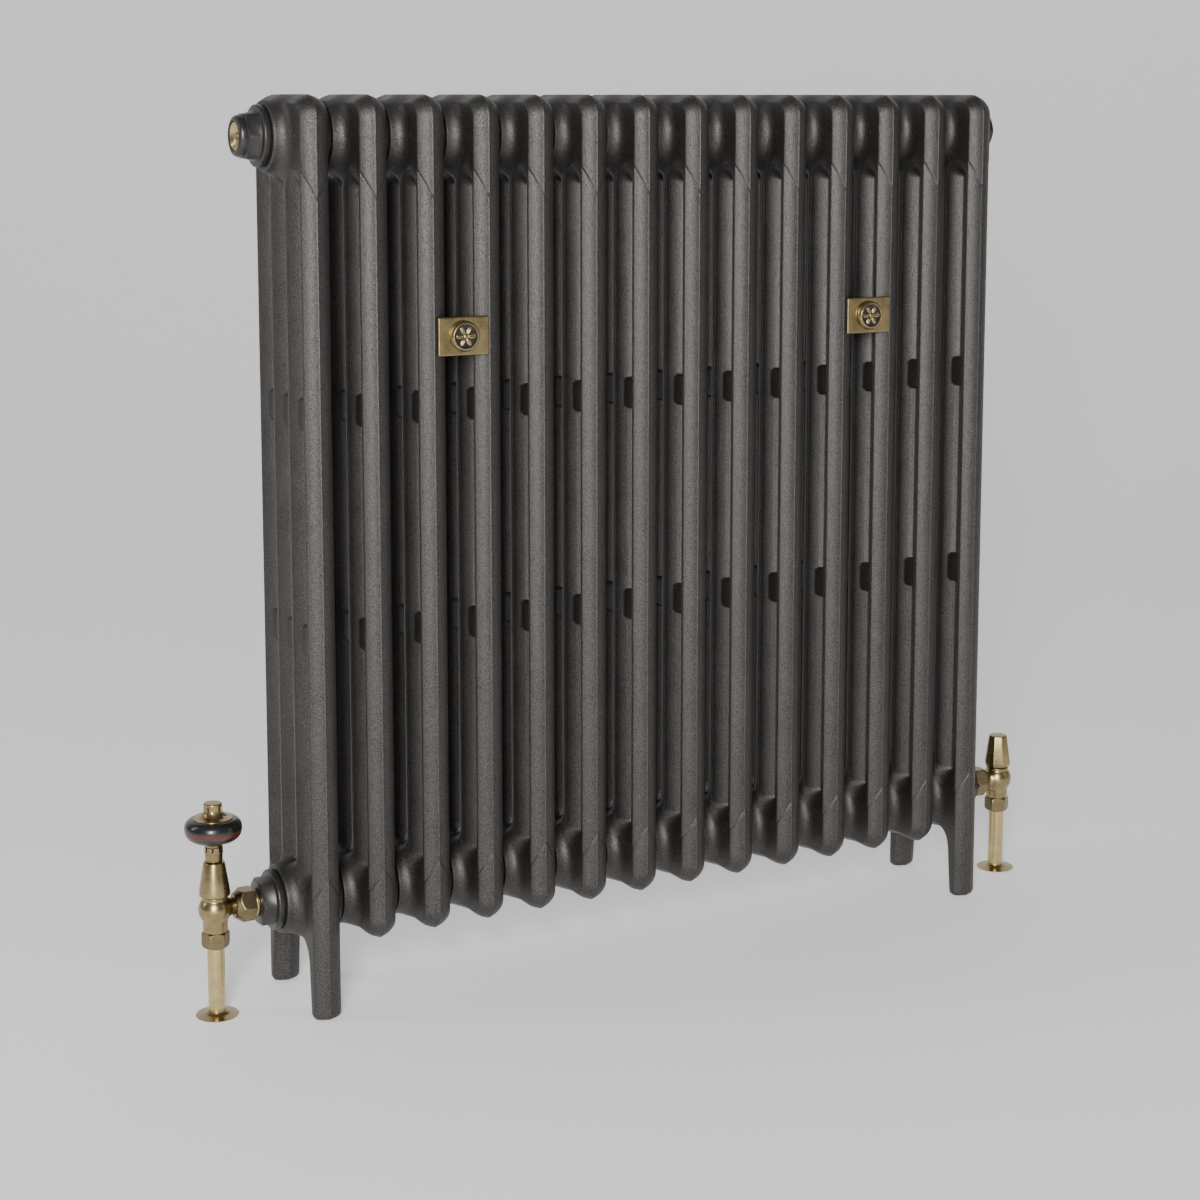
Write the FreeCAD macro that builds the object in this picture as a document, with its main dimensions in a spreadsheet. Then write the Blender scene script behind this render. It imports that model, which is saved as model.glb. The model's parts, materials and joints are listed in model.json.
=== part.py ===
import FreeCAD, Part
import math
import os
import re
import Sketcher

# Column radiator: cast sections joined by nipples, with two valves, two wall stays and an air vent.
# Frame: +Z up from the floor, -Y the front, +X along the row. Millimetres.
# The row is drawn about its own middle, and every sub-part is then moved so that the footprint is centred.

VERTICAL = FreeCAD.Vector(0, 0, 1)
TURN_TO_X = FreeCAD.Rotation(FreeCAD.Vector(0, 1, 0), 90)
TURN_TO_MINUS_X = FreeCAD.Rotation(FreeCAD.Vector(0, 1, 0), -90)
TURN_TO_Y = FreeCAD.Rotation(FreeCAD.Vector(1, 0, 0), -90)
UPRIGHT = FreeCAD.Rotation()

DIMENSIONS = [
    # the row and its castings
    ("section_count", 14),
    ("pitch", 63),
    ("height", 960),
    ("depth", 150),
    ("side_thickness", 30),
    ("outline_taper", 29.5),
    ("corner_radius", 24),
    ("nose_below_hub", 1),
    ("end_column_width", 18),
    ("slot_width", 7),
    ("slot_straight", 6),
    ("column_land", 5),
    ("groove_above_hub", 19),
    ("groove_below_top", 76),
    ("link_width", 18),
    ("link_height", 33),
    ("link_span_share", 0.7),
    ("lower_link_share", 0.4),
    ("link_spacing", 236),
    # hubs and waterways
    ("lower_hub", 115),
    ("hub_below_top", 2),
    ("hub_root_radius", 40),
    ("hub_face_radius", 36),
    ("boss_inset", 0.1),
    ("hub_bore", 20),
    ("header_bore", 11.5),
    ("inner_column_bore", 10),
    ("outer_column_bore", 8),
    ("outer_bore_inset", 13),
    ("gasket_thickness", 1),
    ("gasket_width", 9),
    ("nipple_length", 38),
    ("nipple_wall", 4.5),
    ("thread_clearance", 0.1),
    # legs
    ("leg_top_depth", 38),
    ("foot_depth", 24),
    ("leg_root_above_hub", 35),
    # bushes
    ("flange_beyond_thread", 12),
    ("bush_flange", 7),
    ("hex_beyond_thread", 6),
    ("bush_hex", 14),
    ("bush_thread", 18),
    ("bush_bore", 10.5),
    # pipes, sleeves, floor roses and compression joints
    ("pipe_radius", 7.5),
    ("pipe_wall", 0.7),
    ("sleeve_wall", 1.5),
    ("rose_radius", 22.5),
    ("rose_height", 4),
    ("rose_neck", 2),
    ("slip_clearance", 0.1),
    ("nut_shoulder", 6),
    ("olive_length", 5),
    ("olive_wall", 2.5),
    ("spigot_length", 6),
    ("thread_beyond_pipe", 4),
    ("nut_wall", 3.5),
    ("pipe_above_nut", 7),
    # valve bodies
    ("neck_wall", 1.5),
    ("neck_height", 6.7),
    ("ball_radius", 17.3),
    ("ball_top_trim", 2.8),
    ("seat_step", 1.5),
    ("chamber_radius", 9.5),
    ("chamber_below_hub", 6),
    ("valve_collar_radius", 13.5),
    ("branch_radius", 9),
    ("branch_bore", 6.5),
    ("branch_lip", 3),
    ("union_radius", 18.7),
    ("union_corner", 2.6),
    ("union_length", 21),
    ("union_hex", 14.7),
    ("union_back_wall", 4),
    ("union_to_ball", 2.7),
    ("tail_collar_radius", 14.7),
    ("tail_collar", 4.5),
    ("tail_nose_wall", 2.5),
    # thermostatic head
    ("insert_above_hub", 6),
    ("bonnet_bottom_radius", 16.3),
    ("bonnet_top_radius", 11),
    ("bonnet_height", 37.5),
    ("collar_radius", 9.25),
    ("collar_height", 9),
    ("lock_ring_height", 7),
    ("lock_ring_radius", 10.2),
    ("stem_radius", 5),
    ("stem_above_ring", 13),
    ("socket_spare", 3),
    ("pin_radius", 1.5),
    ("seat_disc_radius", 7),
    ("seat_disc", 3),
    ("seat_disc_drop", 2),
    ("wheel_radius", 30),
    ("wheel_above_ring", 7),
    ("wheel_under_height", 8),
    ("wood_band", 5),
    ("wheel_top_height", 10),
    ("wheel_shoulder", 3),
    ("wheel_edge_drop", 1.5),
    ("under_plate_radius", 17),
    ("top_plate_radius", 21),
    ("top_plate_rim", 1),
    ("top_plate", 2),
    ("post_radius", 9.6),
    ("post_height", 17),
    ("running_clearance", 0.05),
    ("moving_gap", 0.3),
    # lockshield
    ("cap_bottom_radius", 13),
    ("cap_wide_radius", 16.5),
    ("cap_top_radius", 10.7),
    ("cap_wide_height", 6),
    ("cap_above_body", 40.5),
    ("cap_spare", 1),
    ("gland_radius", 9.8),
    ("gland_height", 12),
    ("gland_thread", 8),
    ("spindle_radius", 3),
    ("spindle_above_body", 28.5),
    ("spindle_above_hub", 9),
    ("plug_length", 6),
    ("plug_stem", 4),
    # air vent
    ("vent_radius", 21.5),
    ("vent_rim_radius", 17.5),
    ("vent_projection", 8),
    ("vent_straight", 3),
    ("vent_recess_radius", 14.5),
    ("vent_recess", 6),
    ("vent_screw_radius", 4),
    ("vent_key_setback", 1),
    # wall stays
    ("stay_above_link", 59),
    ("stay_gap_number", 4),
    ("plate_edge_inset", 2.5),
    ("plate_height", 41),
    ("plate_thickness", 3),
    ("knob_radius", 16),
    ("knob_thickness", 6),
    ("knob_front_wall", 1.5),
    ("rod_radius", 4),
    ("rod_tapping", 4.05),
    ("rod_setback", 2),
    ("wall_gap", 40),
    ("wall_plate_width", 70),
    ("wall_plate_thickness", 5),
    ("wall_boss_radius", 9),
    ("wall_boss", 14),
    ("wall_screw_radius", 2.75),
    ("wall_screw_spacing", 50),
    ("tool_overshoot", 1),
]

# Levels and widths that follow from the sizes above.
FOLLOWS = {
    "upper_hub": "height - hub_below_top - hub_root_radius",
    "nose_bottom": "lower_hub - nose_below_hub - hub_root_radius",
    "column_pitch": "( depth - end_column_width ) / 3",
    "groove_width": "column_pitch - column_land",
    "groove_bottom": "lower_hub + groove_above_hub",
    "groove_top": "height - groove_below_top",
    "lower_link": "height * lower_link_share",
    "upper_link": "lower_link + link_spacing",
    "leg_root": "lower_hub + leg_root_above_hub",
    "block_end": "( section_count * pitch - gasket_thickness ) / 2",
    "bush_flange_radius": "hub_bore + flange_beyond_thread",
    "bush_hex_radius": "hub_bore + hex_beyond_thread",
    "bush_face": "block_end + gasket_thickness + bush_flange + bush_hex",
    "union_start": "bush_face + tail_collar",
    "union_end": "union_start + union_length",
    "valve_axis": "union_end + union_to_ball + ball_radius",
    "pipe_bore": "pipe_radius - pipe_wall",
    "sleeve_radius": "pipe_radius + sleeve_wall",
    "valve_thread": "pipe_radius + thread_beyond_pipe",
    "nut_radius": "valve_thread + nut_wall",
    "neck_radius": "valve_thread + neck_wall",
    "nut_top": "lower_hub - ball_radius - neck_height",
    "spigot_bottom": "nut_top - spigot_length",
    "olive_bottom": "spigot_bottom - olive_length",
    "nut_bottom": "olive_bottom - nut_shoulder",
    "pipe_top": "nut_top + pipe_above_nut",
    "body_top": "lower_hub + ball_radius - ball_top_trim",
    "bonnet_top": "body_top + bonnet_height",
    "collar_top": "bonnet_top + collar_height",
    "ring_top": "collar_top + lock_ring_height",
    "stem_top": "ring_top + stem_above_ring",
    "head_bottom": "ring_top + moving_gap",
    "wheel_bottom": "ring_top + wheel_above_ring",
    "band_bottom": "wheel_bottom + wheel_under_height",
    "wheel_split": "band_bottom + wood_band",
    "wheel_top": "wheel_split + wheel_top_height",
    "post_top": "wheel_top + post_height",
    "cap_bottom": "body_top + moving_gap",
    "cap_top": "body_top + cap_above_body",
    "spindle_bottom": "lower_hub + spindle_above_hub",
    "spindle_top": "body_top + spindle_above_body",
    "plug_top": "spindle_bottom - moving_gap - plug_stem",
    "vent_front": "bush_face + vent_projection",
    "stay_height": "upper_link + link_height + stay_above_link",
    "stay_offset": "( section_count / 2 - stay_gap_number + 1 ) * pitch",
    "plate_width": "pitch - 2 * plate_edge_inset",
    "plate_back": "depth / 2 - plate_edge_inset * tan(outline_taper) + moving_gap",
    "front_reach": "plate_back + plate_thickness + moving_gap + knob_thickness",
    "rear_reach": "depth / 2 + wall_gap",
    "wall_plate_front": "rear_reach - wall_plate_thickness",
}

doc = FreeCAD.newDocument("column_radiator")
sheet = doc.addObject("Spreadsheet::Sheet", "dims")
for row, (name, value) in enumerate(DIMENSIONS, start=1):
    sheet.set("A%d" % row, name)
    sheet.set("B%d" % row, str(value))
    sheet.setAlias("B%d" % row, name)
doc.recompute()

PLAIN_VALUE = dict(DIMENSIONS)
SECTION_COUNT = PLAIN_VALUE["section_count"]


def cell(formula):
    """Write out what follows from other sizes, and put the sheet's name before each size."""
    def full_name(match):
        word = match.group(0)
        if word in FOLLOWS:
            return "( %s )" % cell(FOLLOWS[word])
        return "dims." + word if word in PLAIN_VALUE else word

    return re.sub(r"[a-z_]+", full_name, formula)


def bind(item, **formulas):
    for name, formula in formulas.items():
        item.setExpression(name.replace("__", "."), cell(formula))


def place(item, at, rotation=UPRIGHT):
    """Turn an object, then bind its place to the sheet."""
    item.Placement = FreeCAD.Placement(FreeCAD.Vector(), rotation)
    for axis, formula in zip("xyz", at):
        if formula != "0":
            item.setExpression("Placement.Base." + axis, cell(formula))
    return item


def cylinder(radius, length, at, rotation=UPRIGHT):
    item = doc.addObject("Part::Cylinder", "cylinder")
    bind(item, Radius=radius, Height=length)
    return place(item, at, rotation)


def cone(radius_from, radius_to, length, at, rotation=UPRIGHT):
    item = doc.addObject("Part::Cone", "cone")
    bind(item, Radius1=radius_from, Radius2=radius_to, Height=length)
    return place(item, at, rotation)


def prism(sides, radius, length, at, rotation=UPRIGHT):
    item = doc.addObject("Part::Prism", "prism")
    item.Polygon = sides
    bind(item, Circumradius=radius, Height=length)
    return place(item, at, rotation)


def ball(radius, at):
    item = doc.addObject("Part::Sphere", "ball")
    bind(item, Radius=radius)
    return place(item, at)


def block(length, width, height, at):
    """A box centred on x and y, standing on z."""
    item = doc.addObject("Part::Box", "block")
    bind(item, Length=length, Width=width, Height=height)
    corner = ("%s - ( %s ) / 2" % (at[0], length), "%s - ( %s ) / 2" % (at[1], width), at[2])
    return place(item, corner)


def fuse(pieces):
    item = doc.addObject("Part::MultiFuse", "joined")
    item.Shapes = pieces
    return item


def cut(base, tools):
    item = doc.addObject("Part::Cut", "cut")
    item.Base = base
    item.Tool = tools[0] if len(tools) == 1 else fuse(tools)
    return item


SUB_PARTS = []

# The footprint reaches from the wheel to the far floor rose, and from the front knobs to the wall plates.
SHIFT_X = "( wheel_radius - rose_radius ) / 2"
SHIFT_Y = "( front_reach - rear_reach ) / 2"


def sub_part(label, pieces, x="0"):
    """Give one named piece of the radiator its own object, label and placement."""
    item = doc.addObject("Part::Compound", label)
    item.Label = label
    item.Links = pieces
    place(item, ("%s + %s" % (x, SHIFT_X), SHIFT_Y, "0"))
    SUB_PARTS.append(item)
    return item


# ---------------------------------------------------------------- the cast section

def origin_plane(body, role):
    for item in body.Origin.OriginFeatures:
        if item.Role == role:
            return item
    raise ValueError(role)


def rounded_outline(body):
    """The side view of a casting: an upright rectangle with four round corners."""
    half = PLAIN_VALUE["depth"] / 2
    low = PLAIN_VALUE["lower_hub"] - PLAIN_VALUE["nose_below_hub"] - PLAIN_VALUE["hub_root_radius"]
    high = PLAIN_VALUE["height"]
    radius = PLAIN_VALUE["corner_radius"]
    inner = half - radius
    sketch = body.newObject("Sketcher::SketchObject", "side_outline")
    sketch.AttachmentSupport = [(origin_plane(body, "YZ_Plane"), "")]
    sketch.MapMode = "FlatFace"

    def line(start, end):
        return Part.LineSegment(FreeCAD.Vector(*start, 0), FreeCAD.Vector(*end, 0))

    def arc(centre, quarter):
        circle = Part.Circle(FreeCAD.Vector(*centre, 0), VERTICAL, radius)
        return Part.ArcOfCircle(circle, quarter * math.pi / 2, (quarter + 1) * math.pi / 2)

    sides = [
        line((-inner, low), (inner, low)),
        line((half, low + radius), (half, high - radius)),
        line((inner, high), (-inner, high)),
        line((-half, high - radius), (-half, low + radius)),
    ]
    corners = [
        arc((inner, low + radius), 3),
        arc((inner, high - radius), 0),
        arc((-inner, high - radius), 1),
        arc((-inner, low + radius), 2),
    ]
    sketch.addGeometry(sides + corners, False)
    for side in range(4):
        sketch.addConstraint(Sketcher.Constraint("Tangent", side, 2, 4 + side, 1))
        sketch.addConstraint(Sketcher.Constraint("Tangent", 4 + side, 2, (side + 1) % 4, 1))
        direction = "Horizontal" if side % 2 == 0 else "Vertical"
        sketch.addConstraint(Sketcher.Constraint(direction, side))
    for corner in (5, 6, 7):
        sketch.addConstraint(Sketcher.Constraint("Equal", 4, corner))
    sizes = [
        ("overall_depth", Sketcher.Constraint("DistanceX", 3, 1, 1, 1, 2 * half), "depth"),
        ("half_depth", Sketcher.Constraint("DistanceX", -1, 1, 1, 1, half), "depth / 2"),
        ("bottom", Sketcher.Constraint("DistanceY", -1, 1, 0, 1, low), "nose_bottom"),
        ("top", Sketcher.Constraint("DistanceY", -1, 1, 2, 1, high), "height"),
        ("corner", Sketcher.Constraint("Radius", 4, radius), "corner_radius"),
    ]
    for name, constraint, formula in sizes:
        index = sketch.addConstraint(constraint)
        sketch.renameConstraint(index, name)
        sketch.setExpression("Constraints." + name, cell(formula))
    return sketch


def leg_outline(body, side):
    """The side view of one leg: upright outside, sloping inside, running on below the floor."""
    half = side * PLAIN_VALUE["depth"] / 2
    top = PLAIN_VALUE["lower_hub"] + PLAIN_VALUE["leg_root_above_hub"]
    below = -PLAIN_VALUE["side_thickness"] / 2 * math.tan(math.radians(PLAIN_VALUE["outline_taper"]))
    points = [
        (half, below),
        (half, top),
        (half - side * PLAIN_VALUE["leg_top_depth"], top),
        (half - side * PLAIN_VALUE["foot_depth"], below),
    ]
    sketch = body.newObject("Sketcher::SketchObject", "leg_outline")
    sketch.AttachmentSupport = [(origin_plane(body, "YZ_Plane"), "")]
    sketch.MapMode = "FlatFace"
    lines = []
    for start, end in zip(points, points[1:] + points[:1]):
        lines.append(Part.LineSegment(FreeCAD.Vector(*start, 0), FreeCAD.Vector(*end, 0)))
    sketch.addGeometry(lines, False)
    for index in range(4):
        sketch.addConstraint(Sketcher.Constraint("Coincident", index, 2, (index + 1) % 4, 1))
    sketch.addConstraint(Sketcher.Constraint("Vertical", 0))
    sketch.addConstraint(Sketcher.Constraint("Horizontal", 1))
    sketch.addConstraint(Sketcher.Constraint("Horizontal", 3))
    outer_ends = (-1, 1, 0, 1) if side > 0 else (0, 1, -1, 1)
    top_ends = (1, 2, 1, 1) if side > 0 else (1, 1, 1, 2)
    foot_ends = (3, 1, 3, 2) if side > 0 else (3, 2, 3, 1)
    top_depth = PLAIN_VALUE["leg_top_depth"]
    foot_depth = PLAIN_VALUE["foot_depth"]
    drop = "side_thickness / 2 * tan(outline_taper)"
    sizes = [
        ("outside", Sketcher.Constraint("DistanceX", *outer_ends, abs(half)), "depth / 2"),
        ("top", Sketcher.Constraint("DistanceY", -1, 1, 0, 2, top), "leg_root"),
        ("below", Sketcher.Constraint("DistanceY", 0, 1, -1, 1, -below), drop),
        ("top_depth", Sketcher.Constraint("DistanceX", *top_ends, top_depth), "leg_top_depth"),
        ("foot_depth", Sketcher.Constraint("DistanceX", *foot_ends, foot_depth), "foot_depth"),
    ]
    for name, constraint, formula in sizes:
        index = sketch.addConstraint(constraint)
        sketch.renameConstraint(index, name)
        sketch.setExpression("Constraints." + name, cell(formula))
    return sketch


def tapered_pad(body, sketch):
    """Pad both ways from the parting plane, drawing in all round to leave a ridge on it."""
    doc.recompute()
    pad = body.newObject("PartDesign::Pad", "tapered_pad")
    pad.Profile = sketch
    pad.SideType = "Two sides"
    pad.setExpression("Length", cell("side_thickness / 2"))
    pad.setExpression("Length2", cell("side_thickness / 2"))
    pad.setExpression("TaperAngle", cell("0 - outline_taper"))
    pad.setExpression("TaperAngle2", cell("0 - outline_taper"))
    body.Tip = pad
    doc.recompute()
    return pad


def casting_blank(name):
    body = doc.addObject("PartDesign::Body", name)
    tapered_pad(body, rounded_outline(body))
    return body


def leg(side):
    body = doc.addObject("PartDesign::Body", "leg")
    tapered_pad(body, leg_outline(body, side))
    below = "side_thickness / 2 * tan(outline_taper) + tool_overshoot"
    floor = block("2 * side_thickness", "2 * depth", below, ("0", "0", "0 - ( %s )" % below))
    return cut(body, [floor])


def groove_tools(centre):
    """Cutters for the valley between two columns: a straight slot inside a flared round-ended valley."""
    half = "slot_width / 2"
    flare = "( groove_width - slot_width ) / 2"
    flare_depth = "( side_thickness - slot_straight ) / 2"
    reach = "( groove_top - groove_bottom - groove_width )"
    low_centre = "groove_bottom + groove_width / 2"
    high_centre = "groove_top - groove_width / 2"
    slot_x = "0 - slot_straight / 2"
    tools = [block("slot_straight", "slot_width", reach, ("0", centre, low_centre))]
    for level in (low_centre, high_centre):
        tools.append(cylinder(half, "slot_straight", (slot_x, centre, level), TURN_TO_X))
        for turn, start in ((TURN_TO_X, "slot_straight / 2"), (TURN_TO_MINUS_X, slot_x)):
            tools.append(cone(half, "groove_width / 2", flare_depth, (start, centre, level), turn))
    for facing in (1, -1):
        wedge = doc.addObject("Part::Wedge", "valley")
        inner = "%d * slot_straight / 2" % facing
        outer = "%d * side_thickness / 2" % facing
        low, high = (inner, outer) if facing > 0 else (outer, inner)
        narrow = half
        wide = "groove_width / 2"
        at_low, at_high = (narrow, wide) if facing > 0 else (wide, narrow)
        # The wedge's own y runs along the row's x, so it is turned to stand upright.
        bind(wedge, Xmin="0 - ( %s )" % at_low, Xmax=at_low, X2min="0 - ( %s )" % at_high, X2max=at_high)
        bind(wedge, Ymin=low, Ymax=high, Zmin="0", Zmax=reach, Z2min="0", Z2max=reach)
        turn = FreeCAD.Rotation(VERTICAL, -90)
        tools.append(place(wedge, ("0", centre, low_centre), turn))
    return tools


def hub_boss(level):
    """Round boss through the casting, drawn in towards each joint face."""
    reach = "( pitch - gasket_thickness ) / 2"
    start = ("boss_inset - side_thickness / 2", "0", level)
    pieces = [cylinder("hub_root_radius", "side_thickness - 2 * boss_inset", start, TURN_TO_X)]
    for turn in (TURN_TO_X, TURN_TO_MINUS_X):
        pieces.append(cone("hub_root_radius", "hub_face_radius", reach, ("0", "0", level), turn))
    return pieces


def waterways():
    """The drilled-out inside: hub bores, headers along the depth and one bore up each column."""
    outer = "depth / 2 - outer_bore_inset"
    tools = []
    for level in ("lower_hub", "upper_hub"):
        tools.append(cylinder("hub_bore", "pitch", ("0 - pitch / 2", "0", level), TURN_TO_X))
        header_start = ("0", "0 - ( %s )" % outer, level)
        tools.append(cylinder("header_bore", "2 * ( %s )" % outer, header_start, TURN_TO_Y))
    height = "upper_hub - lower_hub"
    for sign in ("", "0 - "):
        tools.append(cylinder("inner_column_bore", height, ("0", sign + "column_pitch / 2", "lower_hub")))
        tools.append(cylinder("outer_column_bore", height, ("0", "%s( %s )" % (sign, outer), "lower_hub")))
    return tools


def casting(name, with_legs):
    blank = casting_blank(name)
    solid = fuse([blank, leg(-1), leg(1)]) if with_legs else blank
    grooves = []
    links = []
    for centre in ("0 - column_pitch", "0", "column_pitch"):
        grooves += groove_tools(centre)
        for bottom in ("lower_link", "upper_link"):
            span = "link_span_share * groove_width"
            links.append(block("link_width", span, "link_height", ("0", centre, bottom)))
    bosses = hub_boss("lower_hub") + hub_boss("upper_hub")
    return cut(fuse([cut(solid, grooves)] + links + bosses), waterways())


end_casting = casting("end_casting", True)
middle_casting = casting("middle_casting", False)
for number in range(1, SECTION_COUNT + 1):
    master = end_casting if number in (1, SECTION_COUNT) else middle_casting
    position = "( %d - ( section_count + 1 ) / 2 ) * pitch" % number
    sub_part("section_%02d" % number, [master], position)


def ring(outer, inner, length, at, rotation=UPRIGHT):
    return cut(cylinder(outer, length, at, rotation), [cylinder(inner, length, at, rotation)])


# ---------------------------------------------------------------- nipples and gaskets between sections

gaskets = []
for level, name in (("upper_hub", "top_nipples"), ("lower_hub", "bottom_nipples")):
    nipples = []
    for joint in range(1, SECTION_COUNT):
        middle = "( %d - section_count / 2 ) * pitch" % joint
        start = (middle + " - nipple_length / 2", "0", level)
        outer = "hub_bore - thread_clearance"
        nipples.append(ring(outer, "hub_bore - nipple_wall", "nipple_length", start, TURN_TO_X))
        face = (middle + " - gasket_thickness / 2", "0", level)
        gaskets.append(ring("hub_bore + gasket_width", "hub_bore", "gasket_thickness", face, TURN_TO_X))
    sub_part(name, nipples)
sub_part("hub_gaskets", gaskets)


# ---------------------------------------------------------------- bushes at the four open hubs

def bush(side, level, bored):
    """Threaded reducer: thread in the hub, round flange on a gasket, six-sided head outside."""
    turn = TURN_TO_X if side > 0 else TURN_TO_MINUS_X
    sign = "" if side > 0 else "0 - "
    face = sign + "( block_end + gasket_thickness )"
    thread_start = sign + "( block_end + gasket_thickness - bush_thread )"
    head_start = sign + "( bush_face - bush_hex )"
    thread_length = "bush_thread + tool_overshoot"
    pieces = [
        cylinder("hub_bore - thread_clearance", thread_length, (thread_start, "0", level), turn),
        cylinder("bush_flange_radius", "bush_flange", (face, "0", level), turn),
        prism(6, "bush_hex_radius", "bush_hex", (head_start, "0", level), turn),
    ]
    solid = fuse(pieces)
    if not bored:
        return solid
    length = "bush_thread + bush_flange + bush_hex"
    return cut(solid, [cylinder("bush_bore", length, (thread_start, "0", level), turn)])


def bush_gasket(side, level):
    turn = TURN_TO_X if side > 0 else TURN_TO_MINUS_X
    start = "block_end" if side > 0 else "0 - block_end"
    return ring("hub_bore + gasket_width", "hub_bore", "gasket_thickness", (start, "0", level), turn)


sub_part("vent_bush", [bush(-1, "upper_hub", True)])
sub_part("flow_bush", [bush(-1, "lower_hub", True)])
sub_part("blank_plug", [bush(1, "upper_hub", False)])
sub_part("return_bush", [bush(1, "lower_hub", True)])
bush_gaskets = []
for side in (-1, 1):
    for level in ("upper_hub", "lower_hub"):
        bush_gaskets.append(bush_gasket(side, level))
sub_part("bush_gaskets", bush_gaskets)

# ---------------------------------------------------------------- air vent in the upper left bush

def vent_place(distance):
    return ("0 - ( %s )" % distance, "0", "upper_hub")


vent_dome = "vent_projection - vent_straight"
vent_solid = fuse([
    cylinder("bush_bore - thread_clearance", "bush_hex", vent_place("bush_face"), TURN_TO_X),
    cylinder("vent_radius", "vent_straight", vent_place("bush_face"), TURN_TO_MINUS_X),
    cone("vent_rim_radius", "vent_radius", vent_dome, vent_place("vent_front"), TURN_TO_X),
])
vent_tap = "vent_screw_radius + running_clearance"
vent_tools = [
    cylinder(vent_tap, "vent_projection + bush_hex", vent_place("vent_front"), TURN_TO_X),
    cylinder("vent_recess_radius", "vent_recess", vent_place("vent_front"), TURN_TO_X),
]
sub_part("vent_body", [cut(vent_solid, vent_tools)])
screw_length = "bush_hex / 2 + vent_projection - vent_recess"
key_length = "vent_recess - vent_key_setback"
sub_part("vent_screw", [fuse([
    cylinder("vent_screw_radius", screw_length, vent_place("bush_face - bush_hex / 2"), TURN_TO_MINUS_X),
    prism(4, "vent_screw_radius", key_length, vent_place("vent_front - vent_recess"), TURN_TO_MINUS_X),
])])


# ---------------------------------------------------------------- pipes, sleeves, floor roses and valves

def valve_side(side, prefix):
    """Everything that both valves share, on the left (-1) or the right (1)."""
    sign = "" if side > 0 else "0 - "
    axis = sign + "valve_axis"
    outward = TURN_TO_X if side > 0 else TURN_TO_MINUS_X
    inward = TURN_TO_MINUS_X if side > 0 else TURN_TO_X
    pipe_name = "flow" if side < 0 else "return"

    def along(distance):
        return (sign + distance, "0", "lower_hub")

    def upright(level):
        return (axis, "0", level)

    sub_part(pipe_name + "_pipe", [ring("pipe_radius", "pipe_bore", "pipe_top", upright("0"))])
    sleeve_bore = "pipe_radius + slip_clearance"
    sub_part(pipe_name + "_sleeve", [ring("sleeve_radius", sleeve_bore, "nut_bottom", upright("0"))])
    rose = cone("rose_radius", "sleeve_radius + rose_neck", "rose_height", upright("0"))
    rose_hole = cylinder("sleeve_radius + slip_clearance", "rose_height", upright("0"))
    sub_part(pipe_name + "_floor_rose", [cut(rose, [rose_hole])])

    # compression joint: nut outside, olive round the pipe, thread on the valve
    nut = prism(6, "nut_radius", "nut_top - nut_bottom", upright("nut_bottom"))
    nut_tools = [
        cylinder("pipe_radius + slip_clearance", "nut_shoulder", upright("nut_bottom")),
        cylinder("valve_thread + thread_clearance", "nut_top - olive_bottom", upright("olive_bottom")),
    ]
    sub_part(prefix + "_compression_nut", [cut(nut, nut_tools)])
    olive = ring("pipe_radius + olive_wall", "pipe_radius", "olive_length", upright("olive_bottom"))
    sub_part(prefix + "_olive", [olive])

    # valve body: threaded spigot, neck, ball, upper collar and the branch towards the radiator,
    # whose end meets the seal cone of the tail half way along the union nut
    branch_end = "( union_start + union_length / 2 )"
    branch_length = "valve_axis - " + branch_end
    body = fuse([
        cylinder("valve_thread", "nut_top + tool_overshoot - spigot_bottom", upright("spigot_bottom")),
        cylinder("neck_radius", "lower_hub - nut_top", upright("nut_top")),
        ball("ball_radius", upright("lower_hub")),
        cylinder("valve_collar_radius", "body_top - lower_hub", upright("lower_hub")),
        cylinder("branch_radius", branch_length, upright("lower_hub"), inward),
        cylinder("branch_radius + branch_lip", "union_length / 2 - union_back_wall",
                 along(branch_end), outward),
    ])
    chamber_height = "chamber_below_hub + body_top - lower_hub + 2 * tool_overshoot"
    body_tools = [
        cylinder("pipe_radius + slip_clearance", "pipe_top - spigot_bottom", upright("spigot_bottom")),
        cylinder("pipe_bore - seat_step", "lower_hub - pipe_top", upright("pipe_top")),
        cylinder("chamber_radius", chamber_height, upright("lower_hub - chamber_below_hub")),
        cylinder("branch_bore", branch_length, upright("lower_hub"), inward),
        cylinder("valve_collar_radius", "ball_radius", upright("body_top")),
    ]
    sub_part(prefix + "_body", [cut(body, body_tools)])

    # union: nut over the branch, tail screwed into the bush
    lip_bore = "branch_radius + branch_lip + slip_clearance"
    union_tools = [
        cylinder("branch_radius + slip_clearance", "union_length", along("union_end"), inward),
        cylinder(lip_bore, "union_length - union_back_wall", along("union_start"), outward),
    ]
    back_rim = "branch_radius + union_back_wall"
    union_body = fuse([
        prism(6, "union_radius", "union_hex", along("union_start"), outward),
        cone("union_radius - union_corner", back_rim, "union_length", along("union_start"), outward),
    ])
    sub_part(prefix + "_union_nut", [cut(union_body, union_tools)])
    tail = fuse([
        cylinder("bush_bore - thread_clearance", "bush_hex", along("bush_face"), inward),
        cylinder("tail_collar_radius", "tail_collar", along("bush_face"), outward),
        cylinder("branch_radius + tail_nose_wall", "union_length / 2", along("union_start"), outward),
    ])
    tail_length = "bush_hex + tail_collar + union_length / 2"
    tail_bore = cylinder("branch_bore", tail_length, along("( bush_face - bush_hex )"), outward)
    sub_part(prefix + "_tail", [cut(tail, [tail_bore])])
    return upright


# ---------------------------------------------------------------- thermostatic valve, left

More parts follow.
